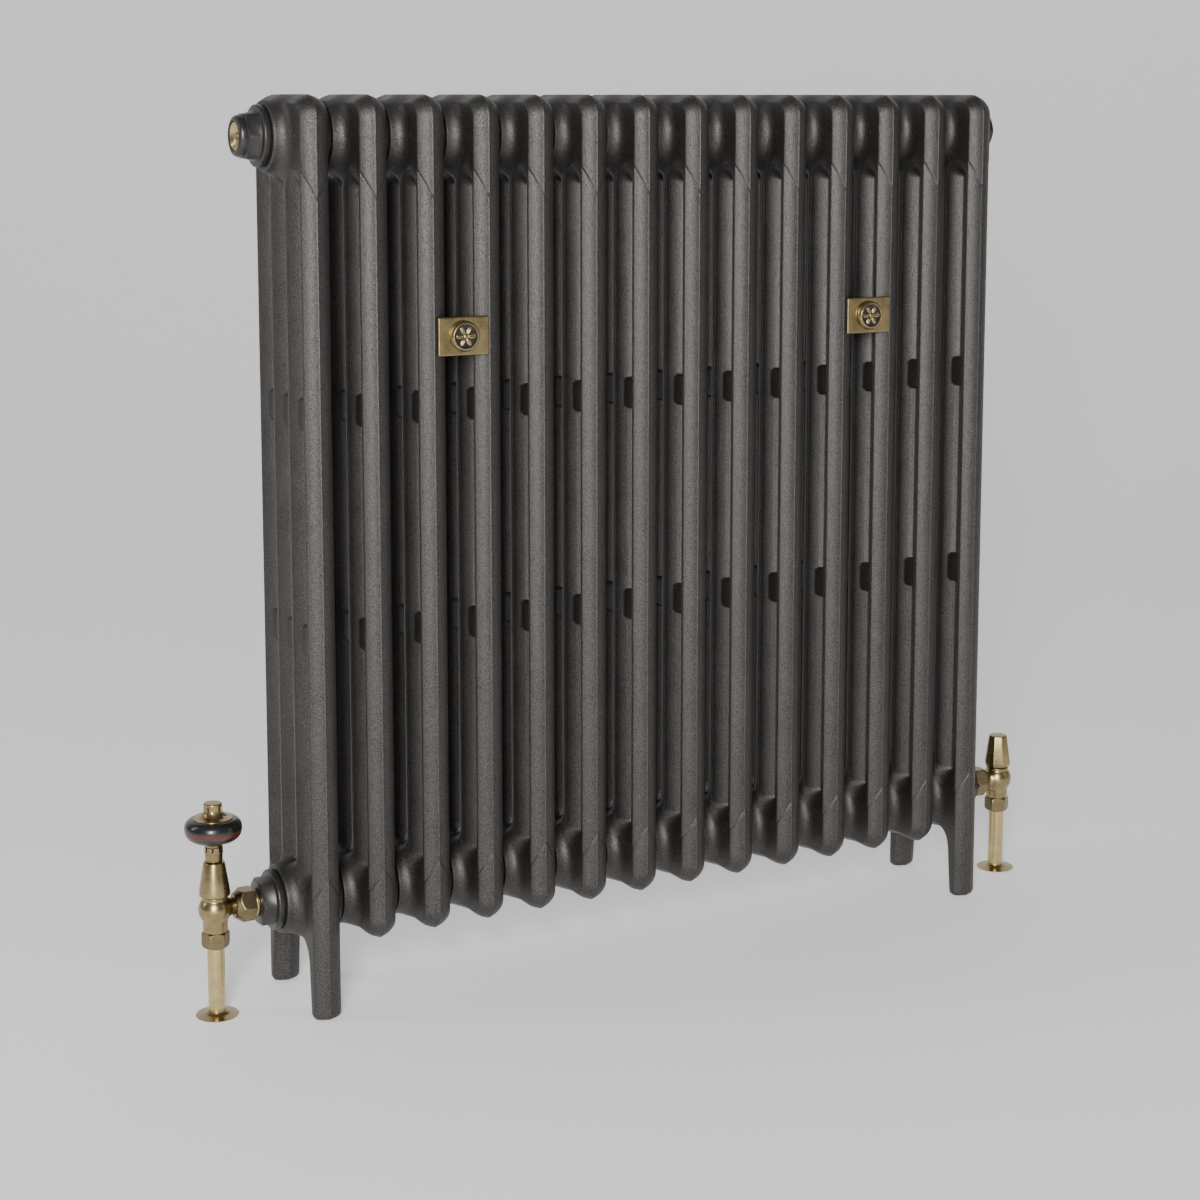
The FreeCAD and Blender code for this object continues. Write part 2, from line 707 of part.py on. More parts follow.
trv = valve_side(-1, "trv")
PIN_BORE = "pin_radius + running_clearance"
insert_height = "body_top - lower_hub - insert_above_hub"
bonnet = fuse([
    cylinder("chamber_radius - thread_clearance", insert_height, trv("lower_hub + insert_above_hub")),
    cone("bonnet_bottom_radius", "bonnet_top_radius", "bonnet_height", trv("body_top")),
])
pin_passage = cylinder(PIN_BORE, "bonnet_top - lower_hub", trv("lower_hub"))
sub_part("trv_bonnet", [cut(bonnet, [pin_passage])])
collar = fuse([
    cylinder("collar_radius", "collar_height", trv("bonnet_top")),
    cylinder("stem_radius", "stem_top - bonnet_top", trv("bonnet_top")),
])
collar_hole = cylinder(PIN_BORE, "stem_top - bonnet_top", trv("bonnet_top"))
sub_part("trv_collar", [cut(collar, [collar_hole])])
stem_hole = "stem_radius + slip_clearance"
lock_ring = ring("lock_ring_radius", stem_hole, "lock_ring_height", trv("collar_top"))
sub_part("trv_lock_ring", [lock_ring])
seat_disc = cylinder("seat_disc_radius", "seat_disc", trv("lower_hub - seat_disc_drop"))
pin = cylinder("pin_radius", "wheel_bottom - lower_hub", trv("lower_hub"))
sub_part("trv_pin", [fuse([seat_disc, pin])])

head_core = fuse([
    cylinder("under_plate_radius", "wheel_bottom - head_bottom", trv("head_bottom")),
    cylinder("post_radius", "post_top - head_bottom", trv("head_bottom")),
    cylinder("top_plate_radius", "top_plate", trv("wheel_top")),
])
socket_height = "stem_top + socket_spare - head_bottom"
socket = cylinder("stem_radius + running_clearance", socket_height, trv("head_bottom"))
sub_part("trv_head_core", [cut(head_core, [socket])])


def wheel_piece(label, low, high, low_radius, high_radius):
    length = "%s - %s" % (high, low)
    hole = cylinder("post_radius + running_clearance", length, trv(low))
    body = cone(low_radius, high_radius, length, trv(low))
    sub_part(label, [cut(body, [hole])])


UNDER_RADIUS = "under_plate_radius + wheel_shoulder"
EDGE_RADIUS = "wheel_radius - wheel_edge_drop"
TOP_RADIUS = "top_plate_radius + top_plate_rim"
wheel_piece("trv_head_under_ring", "wheel_bottom", "band_bottom", UNDER_RADIUS, EDGE_RADIUS)
wheel_piece("trv_head_wood_band", "band_bottom", "wheel_split", EDGE_RADIUS, "wheel_radius")
wheel_piece("trv_head_black_ring", "wheel_split", "wheel_top", "wheel_radius", TOP_RADIUS)

# ---------------------------------------------------------------- lockshield valve, right

lock = valve_side(1, "lockshield")
gland_solid = fuse([
    cylinder("chamber_radius - thread_clearance", "gland_thread", lock("body_top - gland_thread")),
    prism(6, "gland_radius", "gland_height", lock("body_top")),
])
gland_bore = cylinder("spindle_radius + running_clearance", "gland_height + gland_thread",
                      lock("body_top - gland_thread"))
sub_part("lockshield_gland_nut", [cut(gland_solid, [gland_bore])])
spindle = cylinder("spindle_radius", "spindle_top - spindle_bottom", lock("spindle_bottom"))
sub_part("lockshield_spindle", [spindle])
sub_part("lockshield_plug", [fuse([
    cylinder("seat_disc_radius", "plug_length", lock("plug_top - plug_length")),
    cylinder("spindle_radius", "plug_stem", lock("plug_top")),
])])
cap_taper_start = "cap_bottom + cap_wide_height"
cap_solid = fuse([
    cone("cap_bottom_radius", "cap_wide_radius", "cap_wide_height", lock("cap_bottom")),
    cone("cap_wide_radius", "cap_top_radius", "cap_top - cap_bottom - cap_wide_height",
         lock(cap_taper_start)),
])
spindle_room = "spindle_top - cap_bottom + 2 * cap_spare"
cap_tools = [
    cylinder("gland_radius + running_clearance", "gland_height + cap_spare", lock("cap_bottom")),
    cylinder("spindle_radius + moving_gap", spindle_room, lock("cap_bottom")),
]
sub_part("lockshield_cap", [cut(cap_solid, cap_tools)])


# ---------------------------------------------------------------- wall stays

def wall_stay(side, prefix):
    """A plate across two noses, a knob, a rod through the gap and a plate screwed to the wall."""
    centre = "stay_offset" if side > 0 else "0 - stay_offset"
    low_edge = "stay_height - plate_height / 2"

    def at_depth(depth_formula):
        return (centre, depth_formula, "stay_height")

    plate_middle = "0 - plate_back - plate_thickness / 2"
    plate = block("plate_width", "plate_thickness", "plate_height", (centre, plate_middle, low_edge))
    clear_start = at_depth("0 - plate_back - plate_thickness - tool_overshoot")
    clear_length = "plate_thickness + 2 * tool_overshoot"
    clear = cylinder("rod_radius + moving_gap", clear_length, clear_start, TURN_TO_Y)
    sub_part(prefix + "_stay_plate", [cut(plate, [clear])])
    knob = cylinder("knob_radius", "knob_thickness", at_depth("0 - front_reach"), TURN_TO_Y)
    tapping_start = at_depth("0 - front_reach + knob_front_wall")
    tapping = cylinder("rod_tapping", "knob_thickness - knob_front_wall", tapping_start, TURN_TO_Y)
    sub_part(prefix + "_stay_knob", [cut(knob, [tapping])])
    rod_length = "front_reach - rod_setback + wall_plate_front"
    rod = cylinder("rod_radius", rod_length, at_depth("0 - front_reach + rod_setback"), TURN_TO_Y)
    sub_part(prefix + "_stay_rod", [rod])
    wall_middle = "wall_plate_front + wall_plate_thickness / 2"
    boss_start = at_depth("wall_plate_front - wall_boss")
    wall = fuse([
        block("wall_plate_width", "wall_plate_thickness", "plate_height", (centre, wall_middle, low_edge)),
        cylinder("wall_boss_radius", "wall_boss", boss_start, TURN_TO_Y),
    ])
    tools = [cylinder("rod_tapping", "wall_boss", boss_start, TURN_TO_Y)]
    for offset in ("- wall_screw_spacing / 2", "+ wall_screw_spacing / 2"):
        hole_start = ("%s %s" % (centre, offset), "wall_plate_front", "stay_height")
        tools.append(cylinder("wall_screw_radius", "wall_plate_thickness", hole_start, TURN_TO_Y))
    sub_part(prefix + "_stay_wall_plate", [cut(wall, tools)])


wall_stay(-1, "left")
wall_stay(1, "right")

# ---------------------------------------------------------------- check and write

doc.recompute()
faults = []
for item in doc.Objects:
    if "Invalid" in item.State or "Error" in item.State:
        faults.append("%s (%s): %s" % (item.Name, item.TypeId, item.State))
for item in SUB_PARTS:
    shape = item.Shape
    if shape.isNull() or not shape.isValid() or shape.Volume <= 0:
        faults.append("%s has no sound shape" % item.Label)
if faults:
    raise RuntimeError("; ".join(faults))

os.makedirs("parts", exist_ok=True)
for item in SUB_PARTS:
    item.Shape.exportStep("parts/%s.step" % item.Label)
    box = item.Shape.BoundBox
    extent = (item.Label, box.XMin, box.XMax, box.YMin, box.YMax, box.ZMin, box.ZMax)
    print("%-28s x %.1f to %.1f, y %.1f to %.1f, z %.1f to %.1f" % extent)
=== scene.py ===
# %% [markdown]
# # A column radiator with its valves and wall stays
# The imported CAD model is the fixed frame: it says where every piece is and how it moves.
# This script gives each piece its finished shape and surface, and places the light and the camera.

# %% Load the frame
import bmesh
import bpy
import json
import math
import numpy as np
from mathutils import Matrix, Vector

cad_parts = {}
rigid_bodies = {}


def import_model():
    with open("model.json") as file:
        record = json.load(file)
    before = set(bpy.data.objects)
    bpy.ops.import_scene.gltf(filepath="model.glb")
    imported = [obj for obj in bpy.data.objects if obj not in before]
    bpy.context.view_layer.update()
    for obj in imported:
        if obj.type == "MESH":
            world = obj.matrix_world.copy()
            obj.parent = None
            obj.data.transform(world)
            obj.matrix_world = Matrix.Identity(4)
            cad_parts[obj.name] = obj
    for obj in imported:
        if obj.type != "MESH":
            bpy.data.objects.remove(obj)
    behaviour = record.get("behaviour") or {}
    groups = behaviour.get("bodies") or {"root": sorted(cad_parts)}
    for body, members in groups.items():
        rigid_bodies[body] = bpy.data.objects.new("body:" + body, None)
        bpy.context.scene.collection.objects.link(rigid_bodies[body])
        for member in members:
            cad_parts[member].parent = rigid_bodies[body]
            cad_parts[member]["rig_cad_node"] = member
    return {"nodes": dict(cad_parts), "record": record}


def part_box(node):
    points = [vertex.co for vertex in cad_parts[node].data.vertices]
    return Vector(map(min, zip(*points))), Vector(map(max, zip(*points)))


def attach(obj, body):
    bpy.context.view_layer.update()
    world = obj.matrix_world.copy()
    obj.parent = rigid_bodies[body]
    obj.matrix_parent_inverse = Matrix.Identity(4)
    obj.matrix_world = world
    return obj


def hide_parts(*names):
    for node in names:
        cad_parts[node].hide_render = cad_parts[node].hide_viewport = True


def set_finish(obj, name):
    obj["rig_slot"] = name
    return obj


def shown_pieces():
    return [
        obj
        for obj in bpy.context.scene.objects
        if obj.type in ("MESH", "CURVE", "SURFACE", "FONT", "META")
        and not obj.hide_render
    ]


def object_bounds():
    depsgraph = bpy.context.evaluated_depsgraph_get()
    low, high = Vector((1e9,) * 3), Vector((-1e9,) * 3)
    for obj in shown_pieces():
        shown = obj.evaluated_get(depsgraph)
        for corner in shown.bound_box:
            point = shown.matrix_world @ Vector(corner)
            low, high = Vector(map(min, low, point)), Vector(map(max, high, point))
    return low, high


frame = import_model()
cad_low, cad_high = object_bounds()
print("the CAD box measures", [round(v, 4) for v in (cad_high - cad_low)])

# %% [markdown]
# ## Places, read from the frame
# Every place comes from the box of a CAD piece, so that nothing has to be fitted by eye.
# Shapes below are drawn in millimetres about their own axis, which is how a maker's drawing reads.

# %% Main places
MM = 0.001
SECTION_COUNT = sum(name.startswith("section_") for name in frame["nodes"])


def centre(node):
    low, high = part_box(node)
    return (low + high) / 2


first = centre("section_01")
row_y = first.y
pitch = centre("section_02").x - first.x
top_z = cad_high.z / MM
depth = (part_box("section_02")[1].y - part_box("section_02")[0].y) / MM
hub_low = centre("flow_bush").z / MM
hub_high = centre("vent_bush").z / MM
nose_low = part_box("section_02")[0].z / MM
trv_axis = Vector((centre("flow_pipe").x, row_y, 0))
lock_axis = Vector((centre("return_pipe").x, row_y, 0))
print(SECTION_COUNT, "sections at a pitch of", round(pitch / MM, 2), "mm")
print("hubs at", round(hub_low), "and", round(hub_high), "mm")

# %% [markdown]
# ## From a formula to a casting
# A sand casting has no sharp edge anywhere, and its facets run into each other in small fillets. One
# good way to get that is a distance formula: it is negative inside the metal, and soft minimum and
# maximum round each meeting of two surfaces. The formula is sampled on a grid, and "surface nets" puts
# one point in each grid cell that the surface passes through. The grid lines may be uneven, so the long
# plain middle of the columns costs little while their ends are sampled finely.

# %% Soft joints between distances
def soft_max(a, b, radius):
    blend = np.clip(0.5 - 0.5 * (b - a) / radius, 0, 1)
    return b + (a - b) * blend + radius * blend * (1 - blend)


def soft_min(a, b, radius):
    return -soft_max(-a, -b, radius)


def rounded_box_2d(u, v, half_u, half_v, radius):
    """Signed distance to a rectangle with round corners."""
    du = np.abs(u) - half_u + radius
    dv = np.abs(v) - half_v + radius
    outside = np.hypot(np.maximum(du, 0), np.maximum(dv, 0))
    return outside + np.minimum(np.maximum(du, dv), 0) - radius


# %% Surface nets on an uneven grid
def surface_net(formula, xs, ys, zs):
    """Points and quads of the surface where formula(x, y, z) is zero."""
    values = formula(xs[:, None, None], ys[None, :, None], zs[None, None, :])
    values = np.broadcast_to(values, (len(xs), len(ys), len(zs))).astype(np.float32)
    inside = values < 0
    shape = tuple(n - 1 for n in inside.shape)
    total = np.zeros(shape + (3,), np.float32)
    count = np.zeros(shape, np.float32)
    corner = [(slice(0, -1), slice(1, None))[bit] for bit in (0, 1)]
    for axis in range(3):
        others = [a for a in range(3) if a != axis]
        for first_bit in (0, 1):
            for second_bit in (0, 1):
                near = [None] * 3
                far = [None] * 3
                near[axis] = corner[0]
                far[axis] = corner[1]
                for other, bit in zip(others, (first_bit, second_bit)):
                    near[other] = corner[bit]
                    far[other] = corner[bit]
                a = values[tuple(near)]
                b = values[tuple(far)]
                crossed = inside[tuple(near)] != inside[tuple(far)]
                share = np.where(crossed, a / np.where(crossed, a - b, 1), 0)
                total[..., axis] += share
                total[..., others[0]] += np.where(crossed, first_bit, 0)
                total[..., others[1]] += np.where(crossed, second_bit, 0)
                count += crossed
    used = count > 0
    number = np.full(shape, -1, np.int64)
    number[used] = np.arange(int(used.sum()))
    cells = np.argwhere(used)
    at = cells + total[used] / count[used][:, None]
    points = np.stack([np.interp(at[:, a], np.arange(len(g)), g) for a, g in enumerate((xs, ys, zs))], 1)
    quads = []
    for axis in range(3):
        near = [slice(1, -1)] * 3
        far = [slice(1, -1)] * 3
        near[axis] = slice(0, -1)
        far[axis] = slice(1, None)
        crossed = inside[tuple(near)] != inside[tuple(far)]
        at = np.argwhere(crossed)
        goes_out = inside[tuple(near)][crossed]
        at[:, [a for a in range(3) if a != axis]] += 1
        u, v = [(1, 2), (2, 0), (0, 1)][axis]
        ring = []
        for du, dv in ((0, 0), (1, 0), (1, 1), (0, 1)):
            cell = at.copy()
            cell[:, u] -= 1 - du
            cell[:, v] -= 1 - dv
            ring.append(number[cell[:, 0], cell[:, 1], cell[:, 2]])
        ring = np.stack(ring, 1)
        ring[~goes_out] = ring[~goes_out][:, ::-1]
        quads.append(ring)
    return settle(formula, points), np.concatenate(quads)


def settle(formula, points, rounds=3, step=0.05, reach=0.6):
    """Move each point along the slope of the formula until it lies on the surface."""
    for _ in range(rounds):
        value = formula(*points.T)
        slope = np.empty_like(points)
        for axis in range(3):
            shifted = points.copy()
            shifted[:, axis] += step
            slope[:, axis] = (formula(*shifted.T) - value) / step
        steep = np.maximum((slope ** 2).sum(1), 0.05)
        move = -(value / steep)[:, None] * slope
        length = np.linalg.norm(move, axis=1, keepdims=True)
        points = points + move * np.minimum(1, reach / np.maximum(length, 1e-9))
    return points


def spaced(*stretches):
    """Grid lines for several stretches, each given as (start, end, step)."""
    lines = []
    for start, end, step in stretches:
        lines.append(np.linspace(start, end, max(2, int(round((end - start) / step)) + 1)))
    return np.unique(np.round(np.concatenate(lines), 4))


# %% [markdown]
# ## Making Blender objects
# A helper turns points and faces into an object. Thinning a dense net keeps the shape where it curves
# and spends few triangles where it is plain. The small bevel on turned parts gives edges that catch the
# light.

# %% Object helpers
def mesh_from(name, points, faces):
    mesh = bpy.data.meshes.new(name)
    points = np.asarray(points, np.float32)
    faces = np.asarray(faces, np.int32)
    mesh.vertices.add(len(points))
    mesh.vertices.foreach_set("co", (points * MM).ravel())
    mesh.loops.add(faces.size)
    mesh.loops.foreach_set("vertex_index", faces.ravel())
    mesh.polygons.add(len(faces))
    mesh.polygons.foreach_set("loop_start", np.arange(0, faces.size, faces.shape[1], dtype=np.int32))
    mesh.polygons.foreach_set("loop_total", np.full(len(faces), faces.shape[1], np.int32))
    mesh.update(calc_edges=True)
    mesh.validate()
    mesh.polygons.foreach_set("use_smooth", np.ones(len(mesh.polygons), bool))
    return mesh


def object_from(mesh, name, at=(0, 0, 0), turn=None):
    made = bpy.data.objects.new(name, mesh)
    bpy.context.scene.collection.objects.link(made)
    made.location = at
    if turn:
        made.rotation_euler = turn
    return made


def with_modifiers_applied(made):
    """Replace an object's mesh by what its modifiers make of it."""
    depsgraph = bpy.context.evaluated_depsgraph_get()
    finished = bpy.data.meshes.new_from_object(made.evaluated_get(depsgraph))
    made.modifiers.clear()
    made.data = finished
    return made


def thinned(mesh, keep):
    made = object_from(mesh, mesh.name + "_dense")
    thin = made.modifiers.new("thin", "DECIMATE")
    thin.ratio = keep
    finished = with_modifiers_applied(made).data
    bpy.data.objects.remove(made)
    finished.polygons.foreach_set("use_smooth", np.ones(len(finished.polygons), bool))
    return finished


def fit_in(made, body, slot, *nodes):
    """Say what a piece moves with, whose finish it has and which CAD pieces it stands for."""
    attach(made, body)
    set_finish(made, slot)
    if nodes:
        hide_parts(*nodes)
    return made


# %% [markdown]
# ## The cast section
# Each section is poured between two half moulds that meet on a plane through its middle, so every facet
# leans back from that plane and a fine ridge runs all round. Three valleys on each side divide the
# plate into four columns, and a narrow slot is open at the bottom of each valley. Two short links cross
# every slot. Round hubs at the top and bottom carry the water to the next section.

# %% Dimensions of the casting
HALF_THICK = 15.0
NOSE_DRAW = 8.5
SLOT_HALF = 3.5
VALLEY_HALF = 19.5
VALLEY_LIP = 0.9
COLUMN_PITCH = 44.0
VALLEY_LOW = 134.0
VALLEY_HIGH = 884.0
HUB_ROOT = 40.0
HUB_FACE = 36.0
HUB_REACH = pitch / MM / 2 - 0.5
HUB_BORE = 20.0
LINK_MIDDLES = (400.5, 636.5)
LINK_HALF = 16.5
CORNER = 24.0
SHOULDER_LOW, RIDGE_LOW = 130.0, 155.0
SHOULDER_HIGH, RIDGE_HIGH = 884.0, 855.0


# %% The formula of the casting
def nose_inset(x):
    """How far the outline draws back at a distance from the parting plane: a full, rounded facet."""
    share = (np.sqrt(x * x + 0.3 ** 2) - 0.3) / HALF_THICK
    parting_bead = 0.45 * np.exp(-(x / 0.7) ** 2)
    return 0.45 - parting_bead + NOSE_DRAW * (0.4 * share + 0.6 * share ** 2.4)


def valley_height(s):
    """Half thickness of the metal at a distance from the middle line of a valley."""
    share = np.clip((s - SLOT_HALF) / (VALLEY_HALF - SLOT_HALF), 0, 1)
    wall = 2.5 + (HALF_THICK - VALLEY_LIP - 2.5) * (1 - (1 - share) ** 1.75)
    in_slot = np.maximum(SLOT_HALF - s, 0) * 3.5
    return np.where(s > VALLEY_HALF, HALF_THICK + 6, wall) - in_slot


def casting(x, y, z, legs):
    across = np.abs(x)
    side = rounded_box_2d(y, z - (nose_low + top_z) / 2, depth / 2, (top_z - nose_low) / 2, CORNER)
    if legs:
        lean = (np.abs(y) - 37) * -1 + (150 - z) * 14 / 158.5
        leg = np.maximum(lean, z - 150)
        side = np.maximum(soft_min(side, leg, 26), np.abs(y) - depth / 2)
    slope = side + nose_inset(x)
    chevron_high = SHOULDER_HIGH - (SHOULDER_HIGH - RIDGE_HIGH) * (1 - across / HALF_THICK)
    chevron_low = SHOULDER_LOW + (RIDGE_LOW - SHOULDER_LOW) * (1 - across / HALF_THICK)
    below = np.clip((chevron_high - z) / 0.5, 0, 1)
    above = np.clip((z - chevron_low) / 0.5, 0, 1)
    slope = slope + 0.8 * below * above
    for chevron in (chevron_high, chevron_low):
        slope = slope + 0.8 * np.exp(-((z - chevron) / 1.1) ** 2)
    metal = soft_max(slope * 0.87, across - HALF_THICK, 0.9)

    for middle in (-COLUMN_PITCH, 0, COLUMN_PITCH):
        low = VALLEY_LOW + VALLEY_HALF
        high = VALLEY_HIGH - VALLEY_HALF
        s = np.hypot(y - middle, z - np.clip(z, low, high))
        metal = soft_max(metal, (across - valley_height(s)) * 0.72, 0.6)

    for middle in LINK_MIDDLES:
        slant = np.maximum(np.abs(z - middle) - LINK_HALF + 3, 0) * 0.8
        link = soft_max(across + slant - 9, np.abs(z - middle) - LINK_HALF, 1.2)
        link = soft_max(link, np.abs(y) - 62, 1.2)
        metal = soft_min(metal, link, 1.2)

    for level in (hub_low, hub_high):
        spread = np.hypot(y, z - level)
        cone = spread - HUB_ROOT + (HUB_ROOT - HUB_FACE) * across / HUB_REACH
        hub = soft_max(across - HUB_REACH, cone, 1.6)
        metal = soft_min(metal, hub, 13)
        metal = np.maximum(metal, np.minimum(side, spread - HUB_ROOT))
        metal = np.maximum(metal, HUB_BORE - spread)
        metal = np.maximum(metal, across - HUB_REACH)

    pip = np.sqrt((np.maximum(-x, 0) - HALF_THICK) ** 2 * 4 + (y + 49) ** 2 + (z - hub_high) ** 2) - 2.2
    metal = soft_min(metal, pip, 0.8)
    if legs:
        metal = soft_max(metal, -z, 7)
    return metal


# %% Sample the two kinds of casting
def grid_lines(legs):
    left = [(-33, -17, 1.1), (-17, -13, 0.6), (-13, -1.5, 1.0)]
    right = [(1.5, 13, 1.0), (13, 17, 0.6), (17, 33, 1.1)]
    xs = spaced(*left, (-1.5, 1.5, 0.5), *right)
    ys = spaced((-78, 78, 1.15))
    bottom = [(-4, 60, 2.5), (60, 128, 1.4)] if legs else [(68, 128, 1.4)]
    middle = [(128, 158, 0.9), (158, 178, 2), (178, 370, 12), (370, 432, 1.6), (432, 606, 12)]
    upper = [(606, 668, 1.6), (668, 840, 12), (840, 888, 0.9), (888, 966, 1.5)]
    return xs, ys, spaced(*bottom, *middle, *upper)


def cast_mesh(name, legs, keep):
    points, quads = surface_net(lambda x, y, z: casting(x, y, z, legs), *grid_lines(legs))
    points[:, 2] = np.maximum(points[:, 2], 0)
    dense = mesh_from(name, points, quads)
    print(name, "sampled with", len(quads), "quads")
    return thinned(dense, keep)


middle_mesh = cast_mesh("middle_casting", False, 0.2)
end_mesh = cast_mesh("end_casting", True, 0.2)
print("thinned to", len(middle_mesh.polygons), "and", len(end_mesh.polygons), "triangles")

# %% Place the castings
castings = []
for number in range(1, SECTION_COUNT + 1):
    node = "section_%02d" % number
    mesh = end_mesh if number in (1, SECTION_COUNT) else middle_mesh
    place = (centre(node).x, row_y, 0)
    made = object_from(mesh, "casting_%02d" % number, place)
    castings.append(fit_in(made, "radiator", "cast_iron", node))
print("placed", len(castings), "castings")

# %% [markdown]
# ## Turned parts
# Valves, sleeves and bushes are turned on a lathe. Each is drawn as a half outline of (radius, height)
# points that is spun about its own upright axis; a part with a bore is a closed outline. A nut is the
# same thing with flats: at each height the radius can't pass the flat's own distance, which also draws
# the curved chamfer.

# %% Lathe helper
def spun(name, outline, steps=96, bored=False, shape=None):
    """Spin an outline of (radius, height) points; shape may then change radii and heights by angle."""
    rows = len(outline)
    angles = np.arange(steps) * 2 * math.pi / steps
    radii, heights = [np.array(values, float)[:, None] * np.ones(steps) for values in zip(*outline)]
    if shape:
        radii, heights = shape(radii, heights, angles[None, :])
    points = np.stack([radii * np.cos(angles), radii * np.sin(angles), heights], -1).reshape(-1, 3)
    step = np.arange(steps)
    after = (step + 1) % steps
    faces = []
    for row in range(rows if bored else rows - 1):
        lower = row * steps
        upper = ((row + 1) % rows) * steps
        faces.append(np.stack([lower + step, lower + after, upper + after, upper + step], 1))
    mesh = mesh_from(name, points, np.concatenate(faces))
    tidy_spin(mesh)
    return mesh


def flats(count, flat, inner=0.0, low=-1e6, high=1e6):
    """Cut flats between two heights, leaving alone what is nearer the axis than inner."""
    sector = 2 * math.pi / count

    def shape(radii, heights, angles):
        off = (angles + sector / 2) % sector - sector / 2
        cut = np.minimum(radii, flat / np.cos(off))
        chosen = (radii > inner) & (heights > low) & (heights < high)
        return np.where(chosen, cut, radii), heights

    return shape


def tidy_spin(mesh):
    """Close the poles, drop doubled points and set sharp edges by angle."""
    work = bmesh.new()
    work.from_mesh(mesh)
    bmesh.ops.remove_doubles(work, verts=work.verts, dist=2e-6)
    bmesh.ops.dissolve_degenerate(work, edges=work.edges, dist=1e-6)
    bmesh.ops.recalc_face_normals(work, faces=work.faces)
    work.to_mesh(mesh)
    work.free()
    mesh.polygons.foreach_set("use_smooth", np.ones(len(mesh.polygons), bool))
    mesh.set_sharp_from_angle(angle=math.radians(40))


def arc(centre_r, centre_z, radius, start, end, count=8):
    """Points of an arc in the outline's plane, in degrees from the outward direction."""
    turns = np.radians(np.linspace(start, end, count))
    return [(centre_r + radius * math.cos(t), centre_z + radius * math.sin(t)) for t in turns]


def curve_through(points, count=24):
    """A smooth line through a few (radius, height) points, by chord length."""
    points = np.array(points, float)
    chord = np.concatenate([[0], np.cumsum(np.hypot(*np.diff(points, axis=0).T))])
    slopes = np.gradient(points, chord, axis=0)
    made = []
    for t in np.linspace(0, chord[-1], count):
        i = min(int(np.searchsorted(chord, t, "right")) - 1, len(chord) - 2)
        h = chord[i + 1] - chord[i]
        u = (t - chord[i]) / h
        a = points[i] * (2 * u ** 3 - 3 * u ** 2 + 1) + slopes[i] * h * (u ** 3 - 2 * u ** 2 + u)
        b = points[i + 1] * (-2 * u ** 3 + 3 * u ** 2) + slopes[i + 1] * h * (u ** 3 - u ** 2)
        made.append(tuple(a + b))
    return made


def bevelled(made, width=0.4, angle=35):
    bevel = made.modifiers.new("edges", "BEVEL")
    bevel.width = width * MM
    bevel.segments = 2
    bevel.limit_method = "ANGLE"
    bevel.angle_limit = math.radians(angle)
    bevel.harden_normals = False
    with_modifiers_applied(made)
    made.data.polygons.foreach_set("use_smooth", np.ones(len(made.data.polygons), bool))
    made.data.set_sharp_from_angle(angle=math.radians(50))
    return made


X_OUT_LEFT = (0, -math.pi / 2, 0)
X_OUT_RIGHT = (0, math.pi / 2, 0)

# %% [markdown]
# ## Pipes, sleeves and floor roses
# The copper pipe is covered by a brass sleeve down to a thin spun rose, which hides the hole in the
# floor.

# %% Sleeves and roses
SLEEVE_R, NUT_LOW, NUT_HIGH = 9.0, 74.0, 91.0
for side, axis in (("flow", trv_axis), ("return", lock_axis)):
    tube = [(7.6, 0), (SLEEVE_R, 0), (SLEEVE_R, NUT_LOW), (7.6, NUT_LOW)]
    sleeve = object_from(spun(side + "_sleeve_tube", tube, bored=True), side + "_sleeve_tube", axis)
    fit_in(sleeve, "radiator", "satin_brass", side + "_sleeve")
    flare = curve_through([(22.5, 0.5), (17, 1.3), (12.5, 2.4), (10.2, 3.9)], 14)
    under = [(9.1, 3.9), (9.1, 0.0), (22.3, 0.0)]
    rose = object_from(spun(side + "_rose", flare + under, bored=True), side + "_rose", axis)
    fit_in(rose, "radiator", "antique_brass", side + "_floor_rose")
print("two sleeves and two roses")

# %% [markdown]
# ## Valve bodies
# A valve body is cast brass: a ball with a neck below, a collar above and a branch to the side, which
# run into each other in soft fillets. The distance formula suits it as it suits the sections.

# %% The valve body
BALL_R, NECK_R, COLLAR_R, BODY_TOP = 17.3, 13.0, 13.5, 129.5
BRANCH_R, BRANCH_END = 9.0, 34.5


def valve_body(x, y, z):
    """The radiator is towards +x here."""
    spread = np.hypot(x, y)
    ball = np.sqrt(x * x + y * y + (z - hub_low) ** 2) - BALL_R
    neck = np.maximum(spread - NECK_R, np.abs(z - 97.5) - 6.2)
    body = soft_min(ball, neck, 1.8)
    upper = np.maximum(spread - 11.6, np.abs(z - 123) - 6)
    body = soft_min(body, upper, 1.2)
    collar = soft_max(spread - COLLAR_R, np.abs(z - (BODY_TOP - 1.9)) - 1.9, 1.0)
    body = soft_min(body, collar, 0.8)
    spigot = np.maximum(spread - 11.5, np.abs(z - 88.5) - 3.5)
    body = np.minimum(body, spigot)
    along = np.clip(x / BRANCH_END, 0, 1)
    tube_r = np.hypot(y, z - hub_low)
    waist = BRANCH_R - 0.5 * np.sin(along * math.pi) + 2.6 * np.clip((x - 19.5) / 5, 0, 1) ** 2
    branch = np.maximum(tube_r - waist, np.abs(x - 17.2) - 17.2)
    body = soft_min(body, branch, 4)
    body = np.maximum(body, 6.5 - np.where(x > 0, tube_r, 99))
    body = np.maximum(body, np.minimum(7.6 - spread, 98 - z) * (z < 98) + -99 * (z >= 98))
    return np.maximum(body, z - BODY_TOP)


def valve_body_mesh(name):
    xs = spaced((-19.5, 36, 0.6))
    ys = spaced((-19.5, 19.5, 0.6))
    zs = spaced((83, 132, 0.6))
    points, quads = surface_net(valve_body, xs, ys, zs)
    return thinned(mesh_from(name, points, quads), 0.3)


